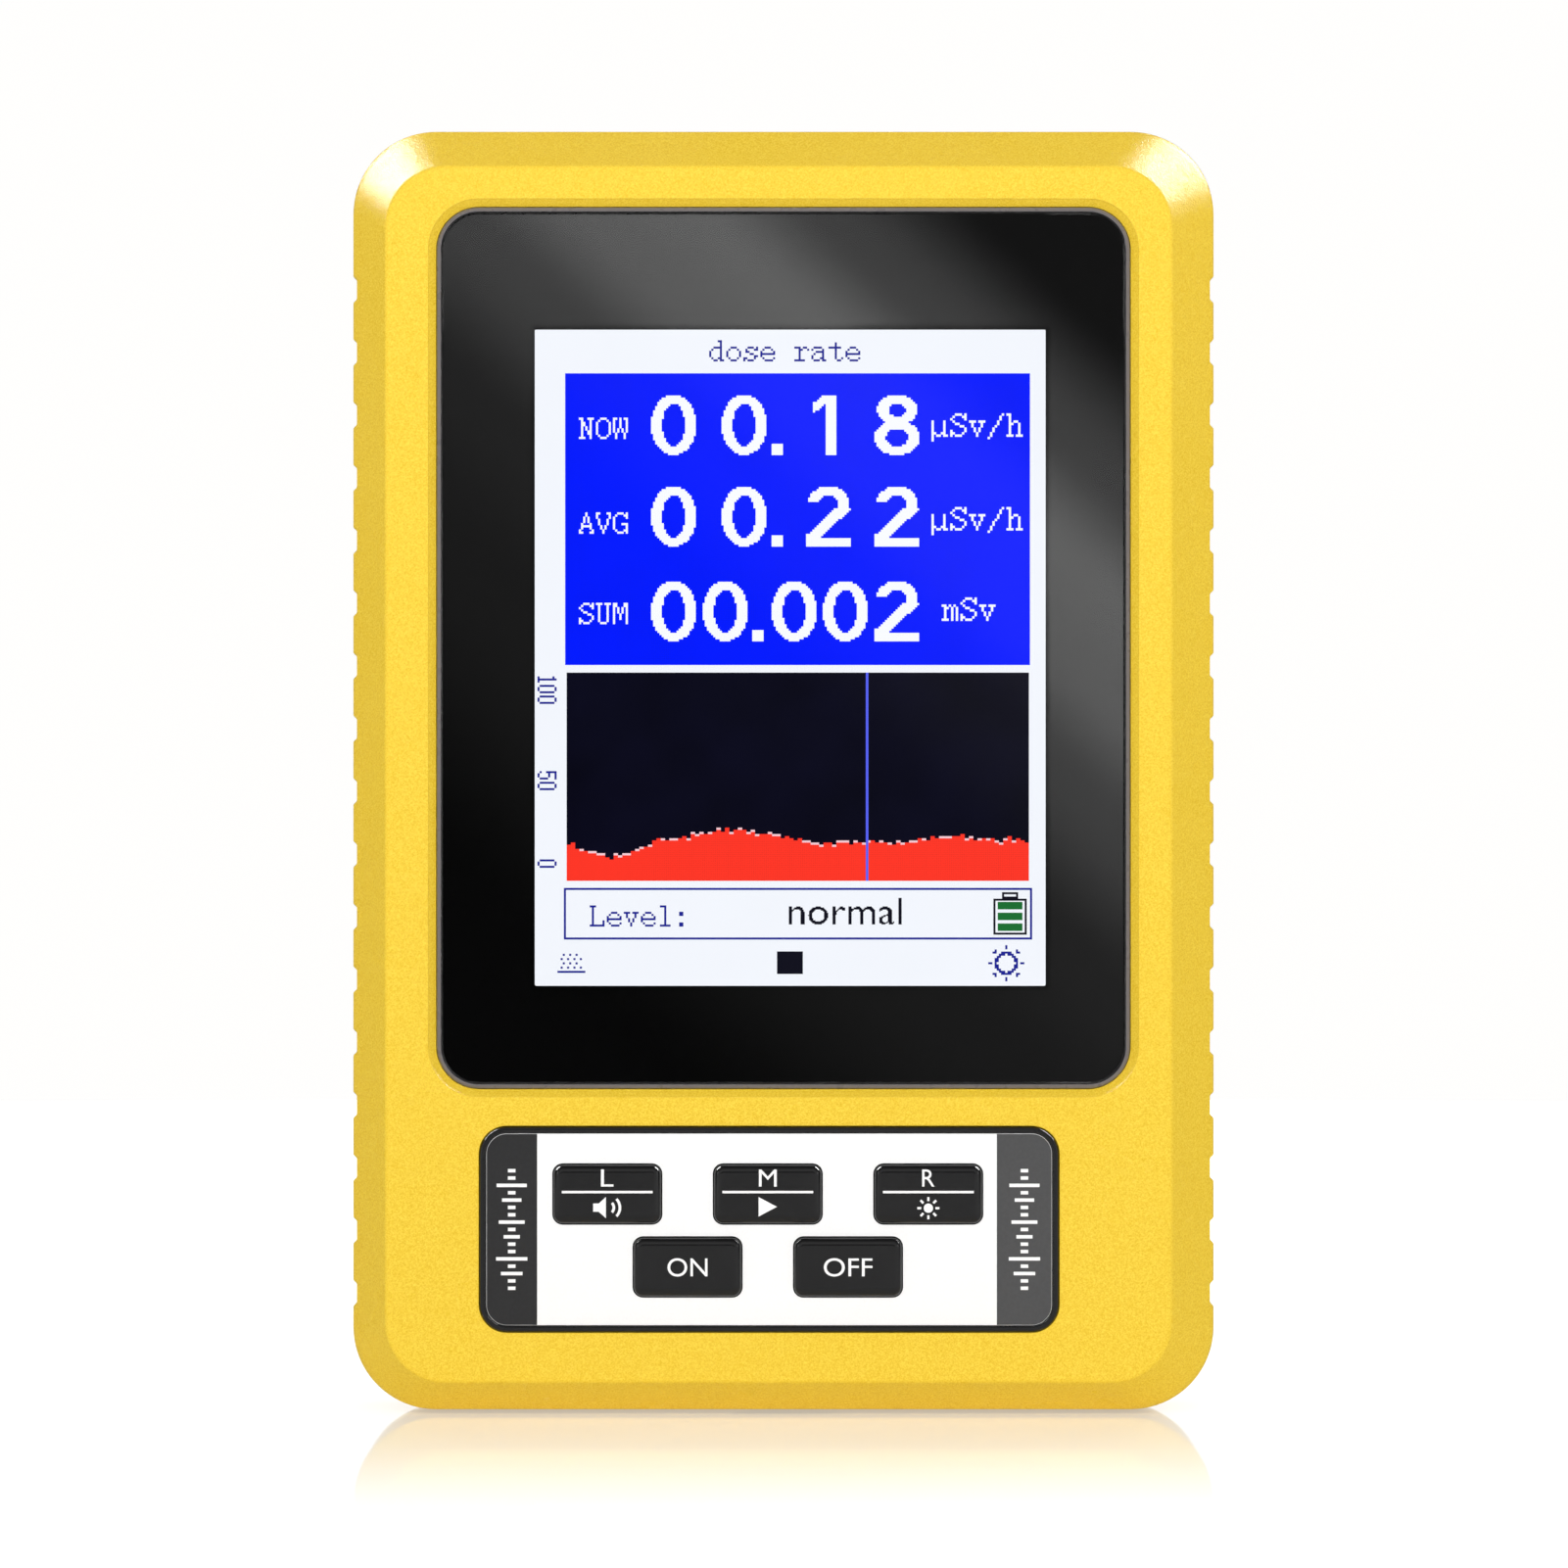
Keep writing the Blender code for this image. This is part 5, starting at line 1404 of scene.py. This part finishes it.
def keys():
    """Glossy caps with rounded edges, each with its white print, riding on its own body."""
    for key in KEYS:
        body = f"key_{key}"
        node = f"key_cap_{key}"
        print_y, back = y_of(node)
        top = print_y + PRINT_THICKNESS
        cap = key_outline(key)
        x, z = centre_of(cap)
        flange = box_of(node, KEY_RADIUS)
        flange_y = top + KEY_FLANGE_DEPTH
        flange_back = flange_y + KEY_FLANGE_THICKNESS
        post = centred(x, z, KEY_POST_SIZE, KEY_POST_SIZE, KEY_POST_RADIUS)
        rings = plate_rings(cap, top, flange_y, edge=KEY_EDGE, steps=10, curve=8, flat=KEY_EDGE_FLATNESS)
        for y, outline in ((flange_y, flange), (flange_back, flange), (flange_back, post), (back, post)):
            rings.append(ring(y, outline, steps=10))
        mesh = skin_mesh(f"keytop_{key}", rings)
        weighted(add(f"keytop_{key}", mesh, "black_gloss_plastic", body, stands_for=[node]))
        if key in KEY_PRINTS:
            upper_key_print(key, x, z, top, body)
        else:
            half = KEY_WORD_WIDTHS[key] / 2
            box = (x - half, x + half, z - WORD_REACH, z + WORD_REACH)
            flat_print(f"word_{key}", letters(key.upper()), box, top, body)


def upper_key_print(key, x, z, y, body):
    """A letter over a rule over an icon."""
    letter, wide, shapes, width, height = KEY_PRINTS[key]
    box = (x - wide / 2, x + wide / 2, z + LETTER_RISE[0], z + LETTER_RISE[1])
    flat_print(f"letter_{key}", letters(letter), box, y, body)
    box = (x - RULE_REACH, x + RULE_REACH, z + RULE_RISE[0], z + RULE_RISE[1])
    flat_print(f"rule_{key}", polygon_mesh([SQUARE]), box, y, body)
    box = (x - width / 2, x + width / 2, z - ICON_DROP - height, z - ICON_DROP)
    flat_print(f"icon_{key}", polygon_mesh(shapes), box, y, body)


# ---- Studio ------------------------------------------------------------

FRAME_WIDTH = 145.54
FRAME_CENTRE_Z = 58.15
LENS_MM = 200.0
SENSOR_MM = 36.0
SILHOUETTE_Y = -10.0
CAMERA_X = 0.05

WHITE = (1.0, 0.995, 0.985, 1.0)
AMBIENT = 0.29
AIM = (0, 0, 0.06)
# What the room shows a mirroring surface, from behind the camera at 0 to behind the part at 1.
ROOM_LEVELS = ((0.0, 0.01), (0.005, 0.01), (0.03, 0.7), (0.25, 0.12), (0.6, 0.1), (0.93, 1.0))
# The band of light on the card that the window mirrors: its levels across it, its tilt and its size.
GLARE_LEVELS = (
    (0.2, 0.01),
    (0.4, 0.08),
    (0.5, 0.13),
    (0.6, 0.42),
    (0.67, 0.88),
    (0.73, 1.0),
    (0.8, 0.42),
    (0.89, 0.05),
)
GLARE_TILT = -53.0
GLARE_SCALE = 0.74
CARD_Z = 0.0957
# The card is shaded where the window would mirror it over the lit display.
FLAG_CENTRE = (0.5085, 0.49, 0.0)
FLAG_REACH = (0.3205, 0.335, 1.0)
FLAG_SHADE = 0.12
FLAG_SOFTNESS = 0.015
FLOOR_RADIUS = 0.8
FLOOR_DROP = 0.0004
# How far from the part the floor mirrors it, in metres, and how much of it, from front to back.
MIRROR_REACH = 0.16
MIRROR_LEVELS = ((0.0, 0.0), (0.45, 0.55), (0.55, 0.55), (1.0, 0.0))
FLOOR_GLOW = (0.12, 0.76)


def camera():
    """A long lens square to the front, as wide as the photo's frame at the case's outline."""
    data = bpy.data.cameras.new("camera")
    data.lens = LENS_MM
    data.sensor_width = SENSOR_MM
    data.clip_end = 20.0
    obj = placed(data)
    away = FRAME_WIDTH * LENS_MM / SENSOR_MM
    obj.location = Vector((CAMERA_X, SILHOUETTE_Y - away, FRAME_CENTRE_Z)) * MM
    obj.rotation_euler = (math.pi / 2, 0, 0)
    bpy.context.scene.camera = obj


def softbox(name, place, width, height, radiance, target=AIM, glossy=True, diffuse=True):
    """An area light at a place in metres, facing a target."""
    data = bpy.data.lights.new(name, "AREA")
    data.shape = "RECTANGLE"
    data.size, data.size_y = width, height
    data.energy = radiance * math.pi * width * height
    obj = placed(data)
    obj.location = place
    obj.rotation_euler = (Vector(target) - Vector(place)).to_track_quat("-Z", "Y").to_euler()
    obj.visible_camera = False
    obj.visible_glossy = glossy
    obj.visible_transmission = glossy
    obj.visible_diffuse = diffuse
    return obj


def feathered_card():
    """A dim card behind the camera that the window mirrors: a soft diagonal band of light."""
    place, target = (0.0, -1.6, CARD_Z), (0.0, 0.0, CARD_Z)
    card = softbox("feathered_card", place, 0.22, 0.27, 1.55, target, diffuse=False)
    card.data.use_nodes = True
    tree = card.data.node_tree
    emission = next(node for node in tree.nodes if node.type == "EMISSION")
    where = add_node(tree, "ShaderNodeNewGeometry").outputs["Parametric"]
    turned = {"Vector": where, "Scale": [GLARE_SCALE] * 3, "Rotation": (0.0, 0.0, math.radians(GLARE_TILT))}
    turn = add_node(tree, "ShaderNodeMapping", turned, vector_type="POINT")
    along = add_node(tree, "ShaderNodeSeparateXYZ", {"Vector": turn.outputs["Vector"]})
    glare = level_ramp(tree, along.outputs["X"], GLARE_LEVELS)
    away = where
    for operation, other in (("SUBTRACT", FLAG_CENTRE), ("DIVIDE", FLAG_REACH), ("ABSOLUTE", (0, 0, 0))):
        node = add_node(tree, "ShaderNodeVectorMath", {0: away, 1: other}, operation=operation)
        away = node.outputs["Vector"]
    sides = add_node(tree, "ShaderNodeSeparateXYZ", {"Vector": away}).outputs
    furthest = add_node(tree, "ShaderNodeMath", {0: sides["X"], 1: sides["Y"]}, operation="MAXIMUM")
    edge = (1 - FLAG_SOFTNESS, 1 + FLAG_SOFTNESS)
    past = map_range(tree, furthest.outputs["Value"], *edge, FLAG_SHADE, 1.0)
    light = add_node(tree, "ShaderNodeMath", {0: glare, 1: past}, operation="MULTIPLY")
    tree.links.new(light.outputs["Value"], emission.inputs["Strength"])


def lights():
    """A large front light, a strip over each shoulder, one at each side, and one behind for back views."""
    softbox("front_softbox", (0, -1.6, 0.30), 1.3, 1.3, 5.1, glossy=False)
    softbox("top_left_strip", (-0.62, 0.02, 0.72), 0.25, 0.62, 62.0, diffuse=False)
    softbox("top_right_strip", (0.62, 0.02, 0.72), 0.25, 0.62, 62.0, diffuse=False)
    for side in (-1, 1):
        softbox(f"side_strip_{side}", (side * 0.8, -0.62, 0.12), 0.12, 0.5, 3.5, diffuse=False)
    softbox("back_softbox", (0.3, 1.5, 0.5), 1.0, 1.0, 3.4, glossy=False)
    feathered_card()


def mix_shaders(tree, share, first, second):
    """The first shader where the share is 0, and the second where it is 1."""
    return add_node(tree, "ShaderNodeMixShader", {0: share, 1: first, 2: second}).outputs["Shader"]


def world():
    """A white room: full white to the eye, dimmer as a light, and dark behind the camera for reflections."""
    made = bpy.data.worlds.new("studio")
    bpy.context.scene.world = made
    made.use_nodes = True
    tree = made.node_tree
    where = add_node(tree, "ShaderNodeTexCoord").outputs["Generated"]
    depth = add_node(tree, "ShaderNodeSeparateXYZ", {"Vector": where}).outputs["Y"]
    mirrored_light = level_ramp(tree, map_range(tree, depth, -1.0, 1.0), ROOM_LEVELS)
    ambient, seen, mirrored = (
        add_node(tree, "ShaderNodeBackground", {"Color": WHITE, "Strength": strength}).outputs["Background"]
        for strength in (AMBIENT, 1.0, mirrored_light)
    )
    path = add_node(tree, "ShaderNodeLightPath").outputs
    lighting = mix_shaders(tree, path["Is Diffuse Ray"], mirrored, ambient)
    shown = mix_shaders(tree, path["Is Camera Ray"], lighting, seen)
    tree.links.new(shown, tree.nodes["World Output"].inputs["Surface"])


def floor_material():
    """White to the eye, dimmer as a light, and mirroring for the eye alone close to the part."""
    material = bpy.data.materials.new("studio_floor")
    material.use_nodes = True
    tree = material.node_tree
    tree.nodes.clear()
    where = add_node(tree, "ShaderNodeTexCoord").outputs["Object"]
    depth = add_node(tree, "ShaderNodeSeparateXYZ", {"Vector": where}).outputs["Y"]
    share = level_ramp(tree, map_range(tree, depth, -MIRROR_REACH, MIRROR_REACH), MIRROR_LEVELS)
    to_eye = add_node(tree, "ShaderNodeLightPath").outputs["Is Camera Ray"]
    glow = map_range(tree, to_eye, 0.0, 1.0, *FLOOR_GLOW)
    emission = add_node(tree, "ShaderNodeEmission", {"Color": WHITE, "Strength": glow})
    diffuse = add_node(tree, "ShaderNodeBsdfDiffuse", {"Color": (0.8, 0.8, 0.8, 1.0)})
    lit_floor = add_node(tree, "ShaderNodeAddShader", {0: emission.outputs[0], 1: diffuse.outputs[0]})
    mirror = add_node(tree, "ShaderNodeBsdfGlossy", {"Roughness": 0.04, "Color": (0.95, 0.95, 0.95, 1.0)})
    for_the_eye = add_node(tree, "ShaderNodeMath", {0: share, 1: to_eye}, operation="MULTIPLY").outputs[0]
    shown = mix_shaders(tree, for_the_eye, lit_floor.outputs[0], mirror.outputs[0])
    add_node(tree, "ShaderNodeOutputMaterial", {"Surface": shown})
    return material


def floor():
    """A pale disc just under the part."""
    bm = bmesh.new()
    bmesh.ops.create_circle(bm, cap_ends=True, segments=96, radius=FLOOR_RADIUS)
    mesh = bpy.data.meshes.new("floor")
    bm.to_mesh(mesh)
    bm.free()
    mesh.materials.append(floor_material())
    obj = placed(mesh)
    obj.location = (0, 0, -FLOOR_DROP)


dress_frame()
front_shell()
rear_shell()
case_screws()
label()
window()
display_ground()
display_readings()
display_chart()
display_labels()
keypad()
keys()
camera()
lights()
world()
floor()
bpy.context.scene.view_settings.view_transform = "Standard"
